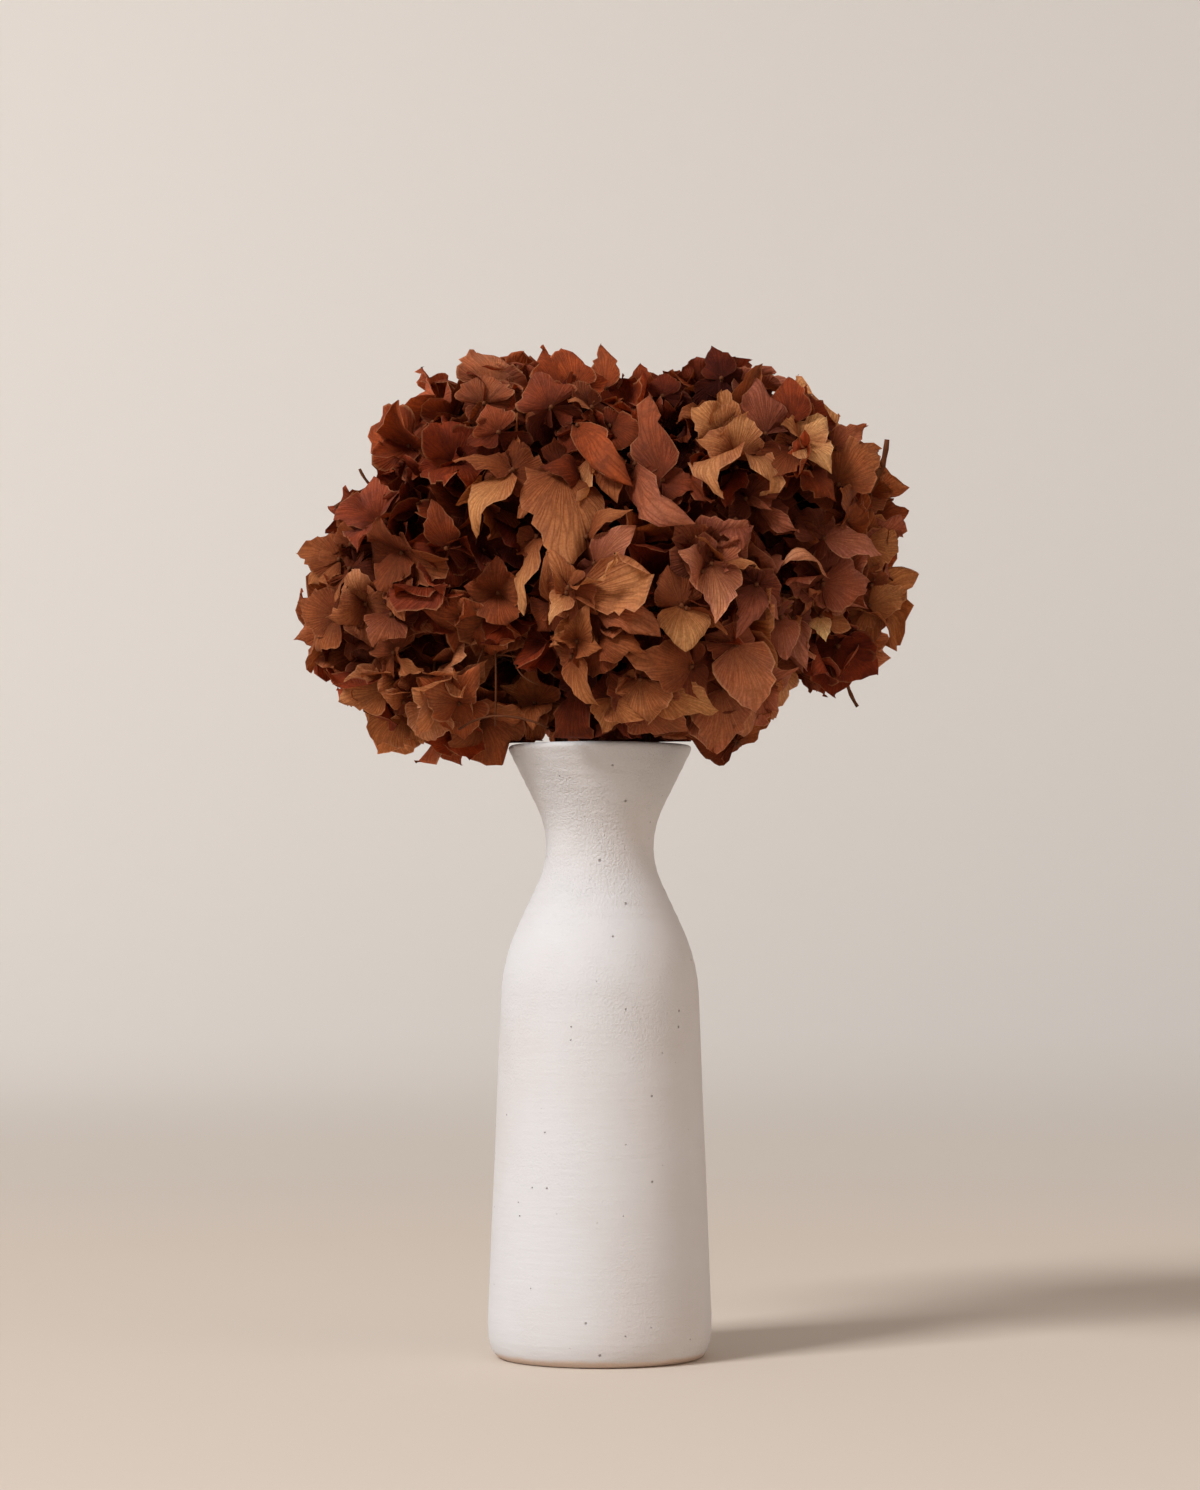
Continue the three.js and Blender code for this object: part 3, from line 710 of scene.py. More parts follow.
def bridgeFlorets(one, row):
    # florets round the creases where this head presses on the ones after it
    for other in heads[heads.index(one) + 1 :]:
        way, reach = creaseReach(one, other)
        if reach > one["radius"] * bloom["bridgeHead"]:
            continue
        middle = one["centre"] + way.normalized() * reach
        ring = math.sqrt(one["radius"] ** 2 - reach**2)
        toWay = upward.rotation_difference(way)
        count = int(2 * math.pi * ring / bloom["bridgeStep"])
        for i in range(count):
            turn = (i + between(row, 0, 0.6)) * 2 * math.pi / count
            out = toWay @ Vector((math.cos(turn), math.sin(turn), 0))
            floret = standFloret(one, out, [], row, 0)
            eye = floret["eye"] = middle + out * (ring + between(row, -9, 1) * mm)
            crowded = any((eye - third["centre"]).length < third["radius"] * 0.8 for third in heads)
            if not crowded and eye.z > vase["height"] + 10 * mm:
                yield floret


def floretColour(eye, row, shade):
    # mostly rust, tan or mauve near the places above, and more mixed at the back
    tan = max(0, between(row, -0.5, 0.42))
    mauve = max(0, between(row, -0.6, 0.45))
    if eye.y > 20 * mm:
        tan, mauve = max(tan, between(row, -0.6, 1.0)), max(mauve, between(row, -0.9, 0.9))
    for x, z, reach, placeTan, placeMauve in colourPlaces:
        if offPlace(eye, x, z) < reach * mm and eye.y < 10 * mm:
            tan, mauve = placeTan, placeMauve
    if eye.x < 10 * mm and eye.z > 365 * mm and eye.y < 20 * mm:
        tan, mauve = tan * 0.4, mauve * 0.7  # the upper left is nearly all rust
    light = between(row, 0.65, 1.15) * shade
    if abs(eye.x) > 60 * mm:
        light *= 1.14  # the sides are painted lighter, as painted light
    return tan, mauve, light


def crossSection(bend, roll):
    # where each column of a blade lies across and above its midline, for a half width of 1:
    # bent evenly, and rolled more towards its two margins
    columns = sepalShape["across"]
    places = [(0.0, 0.0)] * (columns + 1)
    for side in (-1, 1):
        across = up = 0.0
        for c in range(1, columns // 2 + 1):
            u = (c - 0.5) * 2 / columns
            angle = bend * u + roll[side] * max(0, u - sepalShape["rollFrom"]) ** 2
            across += math.cos(angle) * 2 / columns
            up += math.sin(angle) * 2 / columns
            places[columns // 2 + side * c] = (side * across, up)
    return places


def drySepal(row, sepal, size, habit, outer):
    # how one sepal has shrunk, bent and crumpled, with its angles in radians
    length = sepal["length"] * size * between(row, 0.8, 1.16)
    shape = {
        "length": length,
        "half": sepalShape["halfWidth"] * length * between(row, 0.82, 1.14),
        "rise": habit["rise"] + between(row, -16, 20) + sepal["cup"] * 20 - (8 if outer else 0),
        "curl": math.radians(habit["curl"] + between(row, -35, 35)),
        "tipCurl": math.radians(between(row, -90, 60)),
        "fold": between(row, -0.25, 0.95) + sepal["fold"],
        "sway": between(row, -0.22, 0.22),
        "twist": between(row, -0.8, 0.8) + sepal["twist"] * 2,
        "waves": between(row, 1.2, 2.8),
        "ruffle": between(row, 0.03, 0.1),
        "phases": (between(row, 0, 6.28), between(row, 0, 6.28)),
        "rounding": between(row, 0.45, 0.62),
        "point": between(row, 0.95, 1.5),
        "bend": between(row, -1.5, 1.5),
        "rolls": {-1: between(row, -6, 6), 1: between(row, -6, 6)},
        "crumple": Vector([between(row, 0, 90) for _ in range(3)]),
        "shade": 1 + between(row, -0.22, 0.2),
        "levelled": bloom["levelled"],
        "cuts": [],
    }
    shape["rise"] = math.radians(shape["rise"])
    for k in range(sepalShape["along"] + 1):
        toothed = k % 2 and k > sepalShape["toothed"] * sepalShape["along"]
        shape["cuts"].append([between(row, 0.04, sepalShape["teeth"]) if toothed else 0 for _ in range(2)])
    return shape


def bentMidline(shape):
    # drawn out from the eye in equal steps, as (across, up, angle)
    line = []
    across = up = 0.0
    steps = sepalShape["along"]
    for k in range(steps + 1):
        v = k / steps
        tipped = max(0, v - sepalShape["tipFrom"]) ** 2 * 3
        angle = shape["rise"] + shape["curl"] * v * v + shape["tipCurl"] * tipped
        line.append((across, up, angle))
        across += math.cos(angle) * shape["length"] / steps
        up += math.sin(angle) * shape["length"] / steps
    return line


def settle(point, one, levelled):
    # pressed in past the head's round, levelled at the top and lifted off the vase's rim
    away = point - one["centre"]
    past = max(0, away.length - bloom["round"] * one["radius"])
    point -= away.normalized() * past * (1 - bloom["pressed"])
    point.z -= levelled * max(0, point.z - bloom["top"])
    under = vase["height"] + bloom["rimGap"] - point.z
    if under > 0 and math.hypot(point.x, point.y) < bloom["rimReach"]:
        point.z += under  # it lies on the rim
    elif under > 0 and abs(point.x) < bloom["besideRim"]:
        point.z += under * 0.8  # it turns up before the rim
    return away.length / one["radius"]


def lightAt(point, out, v):
    # painted shade and light: darker deep in the gaps and by the eye, lighter on the left, at the top
    # and by place on the front. out is how far the point is from its head's centre, in radii, and v how far
    # along its sepal
    s = shading
    opened = min(1, max(0, (out - s["gapFoot"]) / s["gapDepth"])) ** s["gapBend"]
    opened *= s["eye"] + (1 - s["eye"]) * min(1, v / s["eyeReach"])
    deep = s["deep"] + s["left"] * min(1, max(0, -point.x / s["leftReach"]))
    deep += s["top"] * min(1, max(0, (point.z - s["topFrom"]) / s["topReach"]))
    light = deep + (s["open"] - deep) * opened
    # painted light and shade by place on the front
    for x, z, reach, most in paintedLightPlaces:
        off = offPlace(point, x, z) / (reach * mm)
        if off < 1 and point.y < 20 * mm:
            light *= 1 + (most - 1) * (1 - off * off)
    return light


def addSepal(whole, one, placed, shape, colour):
    length, half = shape["length"], shape["half"]
    rounding, point = shape["rounding"], shape["point"]
    widest = rounding**rounding * point**point / (rounding + point) ** (rounding + point)
    evenly = crossSection(0, {-1: 0, 1: 0})
    bent = crossSection(shape["bend"], shape["rolls"])
    midline = bentMidline(shape)
    columns, steps = sepalShape["across"], sepalShape["along"]
    bm = bmesh.new()
    blade = bm.verts.layers.float_vector.new("blade")
    tint = bm.verts.layers.float_color.new("tint")
    bmesh.ops.create_grid(bm, x_segments=columns, y_segments=steps, size=1.0)
    bmesh.ops.reverse_faces(bm, faces=bm.faces)
    for vert in bm.verts:
        # u runs from margin to margin and v from the eye to the tip
        u = vert.co.x
        c = round((u + 1) / 2 * columns)
        k = round((vert.co.y + 1) / 2 * steps)
        v = k / steps
        width = half * (0.08 + 0.94 * v**rounding * (1 - v) ** point / widest) if v < 1 else 0.02 * half
        width *= 1 - shape["cuts"][k][u > 0] * max(0, abs(u) - 0.5) * 2
        lateral = width * (evenly[c][0] + (bent[c][0] - evenly[c][0]) * v)
        normal = width * bent[c][1] * v + shape["fold"] * width * abs(u) * v
        wave = math.sin(shape["waves"] * v * 6.28 + shape["phases"][u > 0])
        normal += shape["ruffle"] * length * abs(u) ** 2.5 * wave
        spun = shape["twist"] * v * v
        lateral, normal = (
            lateral * math.cos(spun) - normal * math.sin(spun),
            lateral * math.sin(spun) + normal * math.cos(spun),
        )
        lateral += shape["sway"] * v * v * length
        across, up, angle = midline[k]
        local = Vector((across - math.sin(angle) * normal, lateral, up + math.cos(angle) * normal))
        for folds, depth in (("crumples", "crumple"), ("warps", "warp")):
            creased = noise.noise_vector(local * sepalShape[folds] + shape["crumple"])
            local += creased * sepalShape[depth] * v
        vert.co = placed @ local
        out = settle(vert.co, one, shape["levelled"])
        # its lightness carries the painted shade and light of lightAt
        light = colour[2] * shape["shade"] * lightAt(vert.co, out, v)
        vert[blade] = (u * width, v * length, shape["crumple"].x)
        vert[tint] = (colour[0], colour[1], light, abs(u))
    joinOn(whole, bm)


def frontOf(place, share, forward=0):
    # the front of the bouquet across and up there, at a share of its heads' radii, and whose it is
    x, z = place[0] * mm, place[1] * mm
    best = None
    for one in heads:
        reach = share * one["radius"]
        off = math.hypot(x - one["centre"].x, z - one["centre"].z)
        y = one["centre"].y - math.sqrt(max(0, reach**2 - off**2))
        rank = (max(0, off - reach), y)
        if one["name"] != "back" and (best is None or rank < best[0]):
            best = (rank, one, Vector((x, y, z)))
    return best[1], best[2] - Vector((0, forward * mm, 0))


def tipOf(sepal, eye, forward):
    # the tip lies on the bouquet's front, and no farther back or forth than the sepal can reach
    tip = frontOf(sepal[:2], bloom["showTips"], forward)[1]
    reach = math.hypot(tip.x - eye.x, tip.z - eye.z)
    tip.y = min(eye.y + 0.5 * reach, max(eye.y - 1.2 * reach, tip.y))
    return tip


def addShowFloret(bm, one, show, eye, row):
    # sepals from the eye to their tips, and as many more, bent back, as make up four
    _, colour, forward, sepals = show
    drawn = standFloret(one, upward, [], row, 0)["sepals"]
    middle = Vector()
    ways = []
    for sepal, placed in zip(drawn, sepals):
        width, tilt, arch, margins = placed[2:6]
        reach = tipOf(placed, eye, forward) - eye
        along = reach.normalized()
        facing = (eye + reach / 2 - one["centre"]).normalized() + Vector((0, -0.9, 0))
        facing = (facing - along * facing.dot(along)).normalized()
        middle += facing
        ways.append(along)
        tilted = tilt * showShape["tilt"] + between(row, -15, 15)
        facing.rotate(Quaternion(along, math.radians(tilted)))
        shape = drySepal(row, sepal, 1.0, habits[0], False)
        shape.update(length=1.0, half=width * mm * showShape["width"], levelled=0.0, rise=0.0)
        shape.update(curl=math.radians(arch * showShape["arch"]), bend=margins * showShape["bend"])
        loose = showShape["loose"] + showShape["looser"] * abs(margins)
        for name in ("tipCurl", "twist", "sway", "fold"):
            shape[name] *= loose
        shape["rolls"] = {side: loose * shape["rolls"][side] for side in (-1, 1)}
        if len(placed) > 6:
            shape.update(point=placed[6], rounding=1.5 - placed[6])
        # turned and scaled so that its bent midline ends on the tip
        end = bentMidline(shape)[-1]
        shape["rise"] = -math.atan2(end[1], end[0])
        shape["length"] = reach.length / math.hypot(end[0], end[1])
        turn = Matrix([along, facing.cross(along), facing]).transposed().to_quaternion()
        addSepal(bm, one, Matrix.LocRotScale(eye, turn, None), shape, colour)
    facing = middle.normalized()
    tan, mauve, light = colour
    toFacing = upward.rotation_difference(facing)
    spin = Quaternion(facing, between(row, 0, 6.28))
    for k in range(4):
        turn = spin @ Quaternion(facing, k * math.pi / 2) @ toFacing
        along = turn @ Vector((1, 0, 0))
        if len(ways) < 4 and all(along.dot(way) < 0.5 for way in ways):
            backward = {"rise": between(row, -65, -15), "curl": -20}
            shape = drySepal(row, drawn[k], showShape["partner"], backward, False)
            # the partner sepals are painted darker, as painted shade, and less tan
            addSepal(bm, one, Matrix.LocRotScale(eye, turn, None), shape, (tan * 0.6, mauve, light * 0.7))
            ways.append(along)
    return {"eye": eye, "facing": facing}


def crowds(eye, start, end):
    # whether a floret's eye is close to the line from another's eye to a sepal's tip
    line = end - start
    share = min(1, max(0, (eye - start).dot(line) / line.length_squared))
    clearing = bloom["clearing"] + 0.4 * line.length
    if eye.x < bloom["denseLeft"]:
        clearing *= 0.6
    return (eye - start - line * share).length < clearing


def gatherFlorets(one, faces, row, extra):
    # the florets that stand by the rule, with how light they are painted: the filler, inner and
    # bridging ones darker, as painted shade; and those that hang
    layers = [
        (bloom["floretArea"], 0, row, bloom["eyes"], 1.0, 1.0),
        (bloom["fillerArea"], 1.3, extra, bloom["fillerEyes"], 0.92, 0.85),
        (bloom["innerArea"], 2.6, extra, bloom["innerEyes"], 0.95, bloom["innerShade"]),
    ]
    florets = []
    for area, phase, draws, eyes, size, shade in layers:
        for way in evenDirections(one, area, phase):
            floret = standFloret(one, way, faces, draws, eyes)
            if floret:
                floret["size"] *= size
                florets.append((floret, shade))
    florets += [(floret, 0.9) for floret in bridgeFlorets(one, extra)]
    kept = []
    for floret, shade in florets:
        hides = shade > bloom["innerShade"] and any(crowds(floret["eye"], *line) for line in showLines)
        if not hides and not leftFree(floret["eye"]):
            kept.append((floret, shade))
    for name, place, facing, colour in hangers:
        if name == one["name"]:
            floret = standFloret(one, upward, [], extra, 0)
            floret.update(eye=Vector(place) * mm, facing=Vector(facing).normalized(), colour=colour)
            kept.append((floret, 1.0))
    return kept


def addStalks(whole, one, faces, florets, row):
    # branches from the stem's tip, and a thin stalk with a bud from the nearest branch to each eye
    tip = one["centre"] - one["lean"] * bloom["twig"] * one["radius"]
    reach = bloom["forks"] * one["radius"]
    forks = []
    for way in evenDirections(one, 4 * math.pi * one["radius"] ** 2 / bloom["branches"]):
        if all(way.dot(normal) * 0.3 * one["radius"] < flat for normal, flat in faces):
            fork = one["centre"] + way * reach
            forks.append(fork)
            middle = tip.lerp(fork, 0.5) + one["lean"] * 4 * mm - way * 3 * mm
            path = [curvePoint(tip, middle, fork, k / 6) for k in range(7)]
            addTube(whole, path, [(1.7 - 0.1 * k) * mm for k in range(7)], 7, 1)
    for floret in florets:
        eye, facing = floret["eye"], floret["facing"]
        foot = min(forks, key=lambda fork: (fork - eye).length)
        end = eye - facing * 0.4 * mm
        middle = foot.lerp(end, 0.55) - facing * 5 * mm
        path = [curvePoint(foot, middle, end, k / 5) for k in range(6)]
        addTube(whole, path, [0.75 * mm] * 2 + [0.55 * mm] * 3 + [0.9 * mm], 5, 1)
        bud = bmesh.new()
        place = Matrix.Translation(eye + facing * 0.9 * mm)
        bmesh.ops.create_icosphere(bud, subdivisions=1, radius=bloom["bud"], matrix=place)
        for face in bud.faces:
            face.material_index = 1
        joinOn(whole, bud)
    for name, start, middle, end, radius in bareStalks:
        if name == one["name"]:
            path = [curvePoint(*(Vector(p) * mm for p in (start, middle, end)), k / 7) for k in range(8)]
            knotty = [radius * mm * between(row, 0.8, 1.25) for _ in path]
            addTube(whole, path, knotty, 6, 1)


def buildHead(one, seed, sepalMaterial, stalkMaterial):
    # one row draws what the solids draw too, and the other the rest
    row, extra = randomRow(seed), randomRow(seed + 7000)
    faces = headFaces(one)
    bm = bmesh.new()
    florets = []
    for floret, shade in gatherFlorets(one, faces, row, extra):
        colour = floret.get("colour") or floretColour(floret["eye"], extra, shade)
        habit = habits[int(between(extra, 0, len(habits)))]
        aside = Vector([between(extra, -bloom["disorder"], bloom["disorder"]) for _ in range(3)])
        facing = floret["facing"] = (floret["facing"] + aside).normalized()
        turn = upward.rotation_difference(facing) @ Quaternion(upward, floret["spin"])
        for i, sepal in enumerate(floret["sepals"]):
            odd = next(extra) < bloom["oddSepals"]
            ownWay = habits[int(between(extra, 0, len(habits)))] if odd else habit
            shape = drySepal(extra, sepal, floret["size"], ownWay, i % 2 == 0)
            start = floret["eye"] + facing * (-0.4 if i % 2 == 0 else 0.2) * mm
            placed = Matrix.LocRotScale(start, turn @ Quaternion(upward, sepal["turn"]), None)
            addSepal(bm, one, placed, shape, colour)
        florets.append(floret)
    for i, show in enumerate(showFlorets):
        head, eye = frontOf(show[0], bloom["showEyes"], show[2])
        if head is one:  # its own draws, so that it keeps its shape when another is moved
            florets.append(addShowFloret(bm, one, show, eye, randomRow(104729 * (i + 3))))
    stalks = bmesh.new()
    addStalks(stalks, one, faces, florets, extra)
    joinOn(bm, stalks)
    piece = finishPiece("florets_" + one["name"], bm, [sepalMaterial, stalkMaterial])
    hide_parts("head_" + one["name"])
    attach(piece, "root")
    print("head", one["name"], len(florets), "florets", len(piece.data.polygons), "faces")


def curvePoint(start, middle, end, t):
    return start.lerp(middle, t).lerp(middle.lerp(end, t), t)


def driedSepals():
    # Hydrangea sepals dried on the stem and dyed rust: thin, matte and leathery, with veins that
    # fan out from the eye, and light that glows orange through a single layer. The tint attribute
    # is how tan, mauve and light a sepal is, its lightness carrying painted shade and light, and how near
    # the margin.
    material, tree = newMaterial("driedHydrangeaSepals")
    place = addNode(tree, "TexCoord").outputs["Object"]
    blade = addNode(tree, "Attribute", attribute_name="blade")
    tint = addNode(tree, "Attribute", attribute_name="tint")
    tints = addNode(tree, "SeparateColor", {"Color": tint.outputs["Color"]})
    parts = addNode(tree, "SeparateXYZ", {"Vector": blade.outputs["Vector"]})

    # polar coordinates about the eye: veins stand a thirteenth of a radian apart and fork about
    # every 10 mm. Real ones are finer, and these are drawn coarser so that they show from a step away.
    angle = addNode(tree, "Math", {0: parts.outputs["X"], 1: parts.outputs["Y"]}, operation="ARCTAN2")
    flat = addNode(tree, "CombineXYZ", {"X": parts.outputs["X"], "Y": parts.outputs["Y"]})
    far = addNode(tree, "VectorMath", {0: flat}, operation="LENGTH")
    fanAngle = addNode(tree, "Math", {0: angle, 1: 13.0}, operation="MULTIPLY")
    fanFar = addNode(tree, "Math", {0: far, 1: 58.0}, operation="MULTIPLY")
    fan = addNode(tree, "CombineXYZ", {"X": fanAngle, "Y": fanFar, "Z": parts.outputs["Z"]})
    net = addNode(tree, "TexVoronoi", {"Vector": fan, "Scale": 1.0}, feature="DISTANCE_TO_EDGE")
    vein = addNode(tree, "MapRange", {"Value": net, "From Max": 0.2, "To Min": 1.0, "To Max": 0.0})
    # soft streaks between the veins, long along the blade
    streakPlace = addNode(tree, "Mapping", {"Vector": fan, "Scale": (1.4, 0.3, 1.0)})
    streaks = addNode(tree, "TexNoise", {
        "Vector": streakPlace, "Scale": 2.6, "Detail": 4, "Roughness": 0.62,
    })

    # blotches about 9 mm wide, and a leathery grain of 1.1 mm, drawn coarser than the real one
    blotch = addNode(tree, "TexNoise", {"Vector": place, "Scale": 110, "Detail": 3, "Roughness": 0.6})
    grain = addNode(tree, "TexNoise", {"Vector": place, "Scale": 900, "Detail": 3, "Roughness": 0.6})
    uneven = addNode(tree, "MapRange", {"Value": blotch, "From Min": 0.35, "From Max": 0.68})
    rust = addNode(tree, "Mix", {
        0: uneven, 6: linear(sepalLook["rust"]), 7: linear(sepalLook["darkRust"]),
    }, data_type="RGBA")
    tanned = addNode(tree, "Mix", {
        0: tints.outputs["Red"], 6: rust, 7: linear(sepalLook["tan"]),
    }, data_type="RGBA")
    # the flush is strongest along the margins and in blotches
    edge = addNode(tree, "Math", {0: tint.outputs["Alpha"], 1: uneven}, operation="MULTIPLY")
    blush = addNode(tree, "MapRange", {"Value": edge, "From Max": 0.7, "To Min": 0.6})
    flushed = addNode(tree, "Math", {0: tints.outputs["Green"], 1: blush}, operation="MULTIPLY")
    tanEdge = addNode(tree, "Math", {0: edge, 1: tints.outputs["Red"]}, operation="MULTIPLY")
    spread = addNode(tree, "Math", {
        0: tanEdge, 1: 0.3, 2: flushed,
    }, operation="MULTIPLY_ADD", use_clamp=True)
    mauve = addNode(tree, "Mix", {0: spread, 6: tanned, 7: linear(sepalLook["mauve"])}, data_type="RGBA")
    veinShade = addNode(tree, "MapRange", {"Value": vein, "To Max": sepalLook["veins"]})
    veined = addNode(tree, "Mix", {0: veinShade, 6: mauve, 7: linear(sepalLook["vein"])}, data_type="RGBA")
    # a painted highlight along a sepal's very margin, where light catches the thin edge
    marginHighlight = addNode(tree, "MapRange", {"Value": tint.outputs["Alpha"], "From Min": 0.9, "To Max": 0.4})
    edged = addNode(tree, "Mix", {0: marginHighlight, 6: veined, 7: linear(sepalLook["margin"])}, data_type="RGBA")
    # painted shade: what lies deeper is painted darker, times the grain's mottle, and a dark sepal
    # is a redder one: red fades least and blue most, and a tan one fades through rust
    streaked = addNode(tree, "MapRange", {
        "Value": streaks, "From Min": 0.3, "From Max": 0.7, "To Min": 0.94, "To Max": 1.06,
    })
    mottle = addNode(tree, "MapRange", {
        "Value": grain, "From Min": 0.3, "From Max": 0.7, "To Min": 0.86, "To Max": 1.14,
    })
    mottled = addNode(tree, "Math", {0: streaked, 1: mottle}, operation="MULTIPLY")
    light = addNode(tree, "Math", {0: tints.outputs["Blue"], 1: mottled}, operation="MULTIPLY")
    steeper = {
        name: addNode(tree, "MapRange", {"Value": tints.outputs["Red"], "To Min": least, "To Max": most})
        for name, least, most in (("Green", 1.28, 1.75), ("Blue", 1.48, 2.1))
    }
    green = addNode(tree, "Math", {0: light, 1: steeper["Green"]}, operation="POWER")
    blue = addNode(tree, "Math", {0: light, 1: steeper["Blue"]}, operation="POWER")
    shadeAndMottle = addNode(tree, "CombineColor", {"Red": light, "Green": green, "Blue": blue})
    shadedColour = addNode(tree, "Mix", {0: 1.0, 6: edged, 7: shadeAndMottle}, data_type="RGBA", blend_type="MULTIPLY")

    ribbed = addNode(tree, "Bump", {"Height": streaks, "Strength": 0.6, "Distance": 0.3 * mm})
    netted = addNode(tree, "Bump", {
        "Height": vein, "Strength": 0.6, "Distance": 0.3 * mm, "Normal": ribbed,
    })
    leathery = addNode(tree, "Bump", {
        "Height": grain, "Strength": 0.6, "Distance": 0.3 * mm, "Normal": netted,
    })
    surface = addNode(tree, "BsdfPrincipled", {
        "Base Color": shadedColour, "Roughness": 0.72, "IOR": 1.45, "Specular IOR Level": 0.13, "Normal": leathery,
    })
    # light that has come through a sepal is a deeper orange
    through = addNode(tree, "Mix", {
        0: 1.0, 6: shadedColour, 7: linear(sepalLook["glow"]),
    }, data_type="RGBA", blend_type="MULTIPLY")
    glow = addNode(tree, "BsdfTranslucent", {"Color": through, "Normal": leathery})
    both = addNode(tree, "MixShader", {0: 0.3, 1: surface, 2: glow})
    addNode(tree, "OutputMaterial", {"Surface": both})
    return material


def driedStalks():
    # Flower stalks dried brown: dull and wrinkled along their length.
    material, tree = newMaterial("driedFlowerStalks")
    place = addNode(tree, "TexCoord").outputs["Object"]
    mottle = addNode(tree, "TexNoise", {"Vector": place, "Scale": 260, "Detail": 3})
    colour = addNode(tree, "Mix", {0: mottle, 6: linear("#42200f"), 7: linear("#6b3c20")}, data_type="RGBA")
    bump = addNode(tree, "Bump", {"Height": mottle, "Strength": 0.5, "Distance": 0.3 * mm})
    shader = addNode(tree, "BsdfPrincipled", {
        "Base Color": colour, "Roughness": 0.8, "IOR": 1.45, "Specular IOR Level": 0.15, "Normal": bump,
    })
    addNode(tree, "OutputMaterial", {"Surface": shader})
    return material


showLines = []
for place, _, forward, sepals in showFlorets:
    eye = frontOf(place, bloom["showEyes"], forward)[1]
    showLines += [(eye, tipOf(sepal, eye, forward)) for sepal in sepals]
sepalMaterial = driedSepals()
stalkMaterial = driedStalks()
for i, one in enumerate(heads):
    buildHead(one, 101 + i, sepalMaterial, stalkMaterial)  # the solids' seeds

# ---- stems

stem = {
    "radius": 2.9 * mm,
    "footRing": 24 * mm,  # the stems stand in rings round the vase's axis, which narrow to its neck
    "foot": 8.6 * mm,
    "bellyRing": 16 * mm,
    "belly": 110 * mm,
    "neckRing": 11.8 * mm,
    "mouthRing": 19 * mm,
    "mouthDrop": 8 * mm,
    "lead": 14 * mm,  # straight into the head
    "sides": 14,
    "steps": 44,
    "knotStep": 15,  # steps from one knot to the next
    "knot": 0.13,  # how far it swells there, where leaves once grew
}


def ringPoint(ring, height, turn):
    return Vector((ring * math.cos(turn), ring * math.sin(turn), height))


def smoothPath(corners, count):
    # a centripetal Catmull-Rom curve, as the solids' stems follow
    ends = [corners[0] * 2 - corners[1]] + corners + [corners[-1] * 2 - corners[-2]]
    points = []
    spans = len(corners) - 1
    for i in range(count + 1):
        place = i / count * spans
        k = min(int(place), spans - 1)
        t = place - k
        p0, p1, p2, p3 = ends[k : k + 4]
        d0, d1, d2 = ((b - a).length ** 0.5 for a, b in ((p0, p1), (p1, p2), (p2, p3)))
        m1 = ((p1 - p0) / d0 - (p2 - p0) / (d0 + d1) + (p2 - p1) / d1) * d1
        m2 = ((p2 - p1) / d1 - (p3 - p1) / (d1 + d2) + (p3 - p2) / d2) * d1
        c2 = (p2 - p1) * 3 - m1 * 2 - m2
        c3 = (p1 - p2) * 2 + m1 + m2
        points.append(p1 + m1 * t + c2 * t * t + c3 * t**3)
    return points


def woodyBark():
    # Woody hydrangea stems with their bark left on: brown and ridged along the stem, with
    # paler cracks.
    material, tree = newMaterial("driedWoodyBark")
    place = addNode(tree, "TexCoord").outputs["Object"]
    # ridges about 0.9 mm wide and 10 mm long
    drawn = addNode(tree, "Mapping", {"Vector": place, "Scale": (1.0, 1.0, 0.09)})
    ridges = addNode(tree, "TexNoise", {"Vector": drawn, "Scale": 1100, "Detail": 3})
    tone = addNode(tree, "MapRange", {"Value": ridges, "From Min": 0.35, "From Max": 0.7})
    colour = addNode(tree, "Mix", {0: tone, 6: linear("#3c1d10"), 7: linear("#7b4a2c")}, data_type="RGBA")
    bump = addNode(tree, "Bump", {"Height": ridges, "Strength": 0.8, "Distance": 0.4 * mm})
    shader = addNode(tree, "BsdfPrincipled", {
        "Base Color": colour, "Roughness": 0.82, "IOR": 1.45, "Normal": bump,
    })
    addNode(tree, "OutputMaterial", {"Surface": shader})
    return material


def buildStem(one, bark):
    turn = math.radians(one["turn"])
    tip = one["centre"] - one["lean"] * (bloom["twig"] * one["radius"] + bloom["gap"])
    corners = [
        ringPoint(stem["footRing"], stem["foot"], turn),
        ringPoint(stem["bellyRing"], stem["belly"], turn),
        ringPoint(stem["neckRing"], vase["neckHeight"], turn),
        ringPoint(stem["mouthRing"], vase["height"] - stem["mouthDrop"], turn),
        tip - one["lean"] * stem["lead"],
        tip,
    ]
    path = smoothPath(corners, stem["steps"])
    radii = []
    for k in range(len(path)):
        off = k % stem["knotStep"] - stem["knotStep"] // 2
        radii.append(stem["radius"] * (0.93 + stem["knot"] * math.exp(-(off**2) / 2.2)))
    bm = bmesh.new()
    addTube(bm, path, radii, stem["sides"])
    piece = finishPiece("woody_stem_" + one["name"], bm, [bark])
    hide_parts("stem_" + one["name"])
    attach(piece, "root")


bark = woodyBark()
for one in heads:
    buildStem(one, bark)
print("stems", len(heads))

# ---- stage and light: a plain pale floor that curves up all round, and soft light from the left

studio = {
    "floor": "#dbd5cf",
    "floorShade": "#cbbcad",
    "floorShadeFrom": 0.6,  # metres from the vase, where the floor is painted darkest, and where that ends
    "floorShadeTo": 3.2,
    "radius": 5.0,
    "fillet": 2.4,
    "wall": 2.7,
    "sides": 96,
    "sky": "#f5f1ee",
    "skyStrength": 0.45,
    "wash": 22,  # watts for each quarter of the wall
    "washFaint": 0.3,  # as much of it where the key light already reaches
    "washOut": 2.3,
    "washUp": 2.4,
    "washAside": 1.3,
}

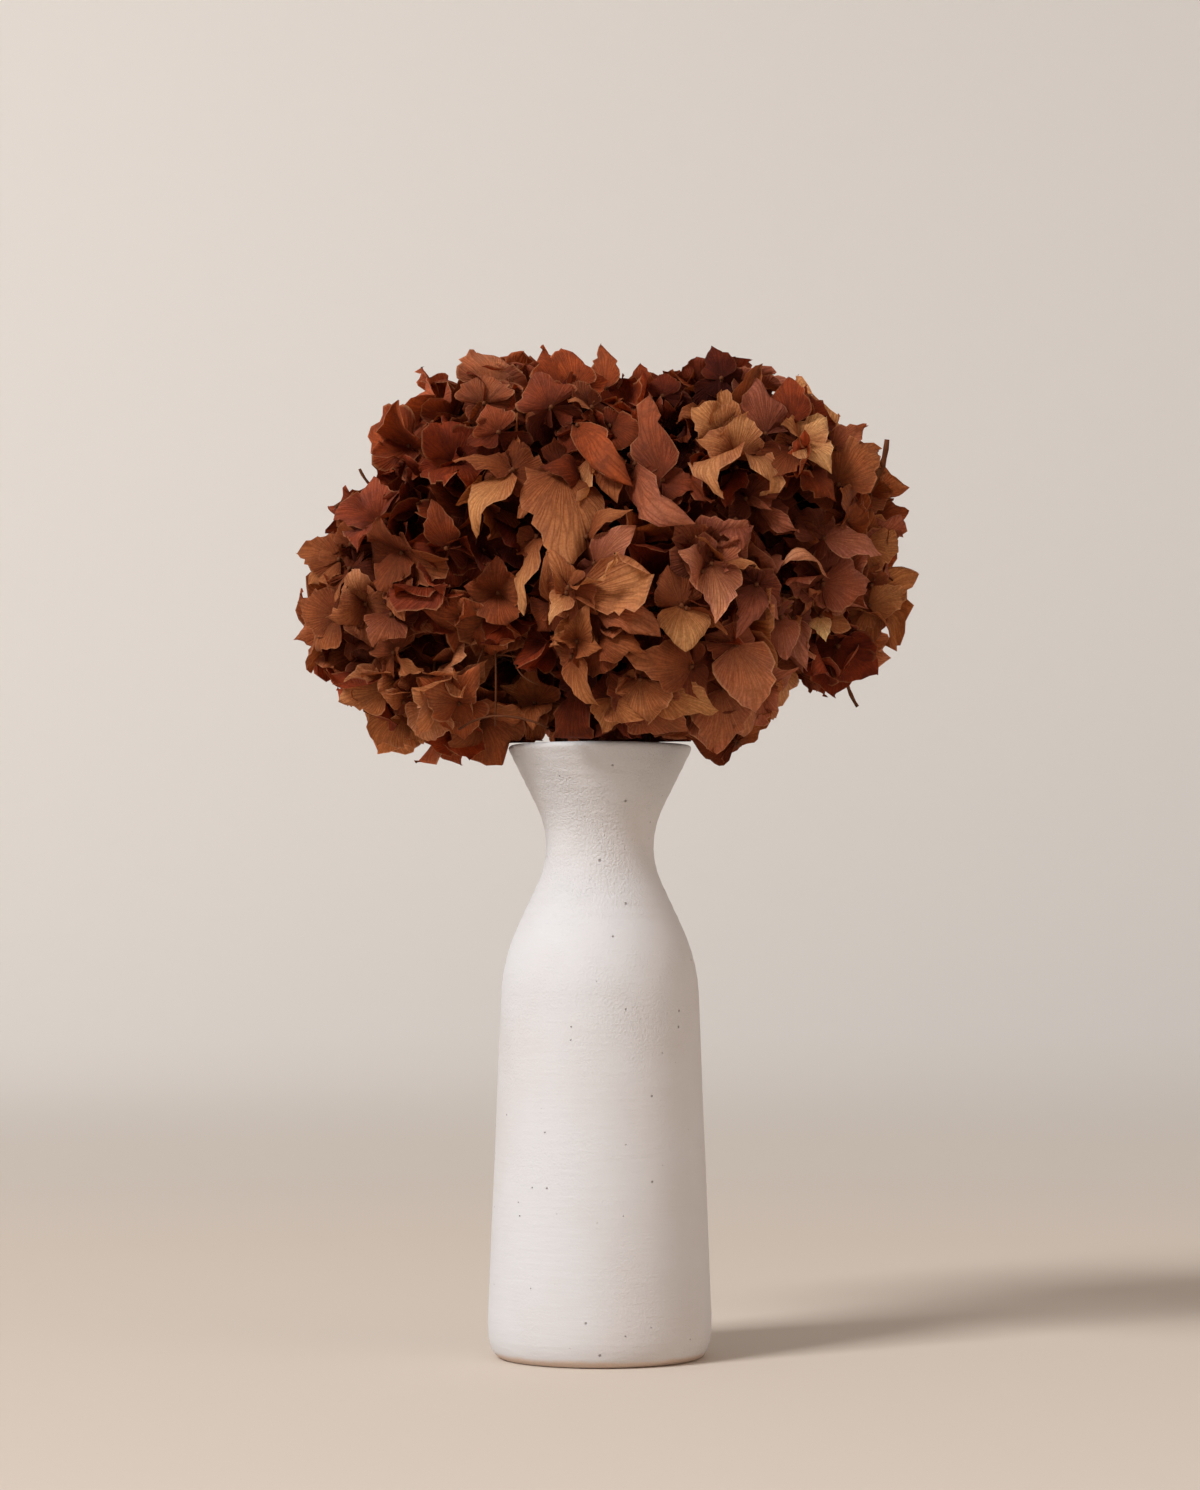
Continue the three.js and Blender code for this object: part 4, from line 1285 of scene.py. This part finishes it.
# as (name, place, what it is aimed at, size, watts, colour)
lights = [
    ("keyFromLeft", (-2.5, -2.25, 2.95), (0, 0, 0.27), (1.2, 1.2), 196, "#f5f9fe"),
    ("fillFromRight", (3.0, -1.9, 1.1), (0, 0, 0.25), (2.5, 2.5), 20, "#ffdcc2"),
]


def buildStage():
    bm = bmesh.new()
    reach, fillet = studio["radius"], studio["fillet"]
    outline = roundedLine([(0, 0), (reach, 0, fillet, fillet, 16), (reach, studio["wall"])])
    drawLine(bm, outline)
    turnRound(bm, studio["sides"])
    # matte paint, painted darker and a little warmer towards the vase, as painted shade that tempers the key
    # light there
    material, tree = newMaterial("paintedStudioFloor")
    place = addNode(tree, "TexCoord").outputs["Object"]
    out = addNode(tree, "VectorMath", {0: place}, operation="LENGTH")
    floorShade = addNode(tree, "MapRange", {
        "Value": out, "From Min": studio["floorShadeFrom"], "From Max": studio["floorShadeTo"],
        "To Min": 1.0, "To Max": 0.0,
    })
    paint = addNode(tree, "Mix", {
        0: floorShade, 6: linear(studio["floor"]), 7: linear(studio["floorShade"]),
    }, data_type="RGBA")
    shader = addNode(tree, "BsdfPrincipled", {"Base Color": paint, "Roughness": 0.9})
    addNode(tree, "OutputMaterial", {"Surface": shader})
    finishPiece("stage_floor", bm, [material])


def addAreaLight(name, place, aim, size, watts, colour):
    data = bpy.data.lights.new(name, "AREA")
    data.shape = "RECTANGLE"
    data.size, data.size_y = size
    data.energy = watts
    data.color = linear(colour)[:3]
    light = bpy.data.objects.new(name, data)
    light.location = place
    light.rotation_euler = (Vector(aim) - Vector(place)).to_track_quat("-Z", "Y").to_euler()
    bpy.context.scene.collection.objects.link(light)


buildStage()
for light in lights:
    addAreaLight(*light)
for i in range(4):
    out = Vector((math.sin(i * math.pi / 2), math.cos(i * math.pi / 2), 0))
    aside = upward.cross(out) * studio["washAside"]
    place = out * studio["washOut"] + upward * studio["washUp"] + aside
    aim = out * studio["radius"] + upward + aside
    watts = studio["wash"] * (1.0 if i < 2 else studio["washFaint"])
    addAreaLight(f"wallWash{i}", place, aim, (1.6, 0.5), watts, "#fffcf8")

world = bpy.data.worlds.new("studioAir")
world.use_nodes = True
world.node_tree.nodes.clear()
air = addNode(world.node_tree, "Background", {
    "Color": linear(studio["sky"]), "Strength": studio["skyStrength"],
})
addNode(world.node_tree, "OutputWorld", {"Surface": air})
bpy.context.scene.world = world
print("stage and lights")
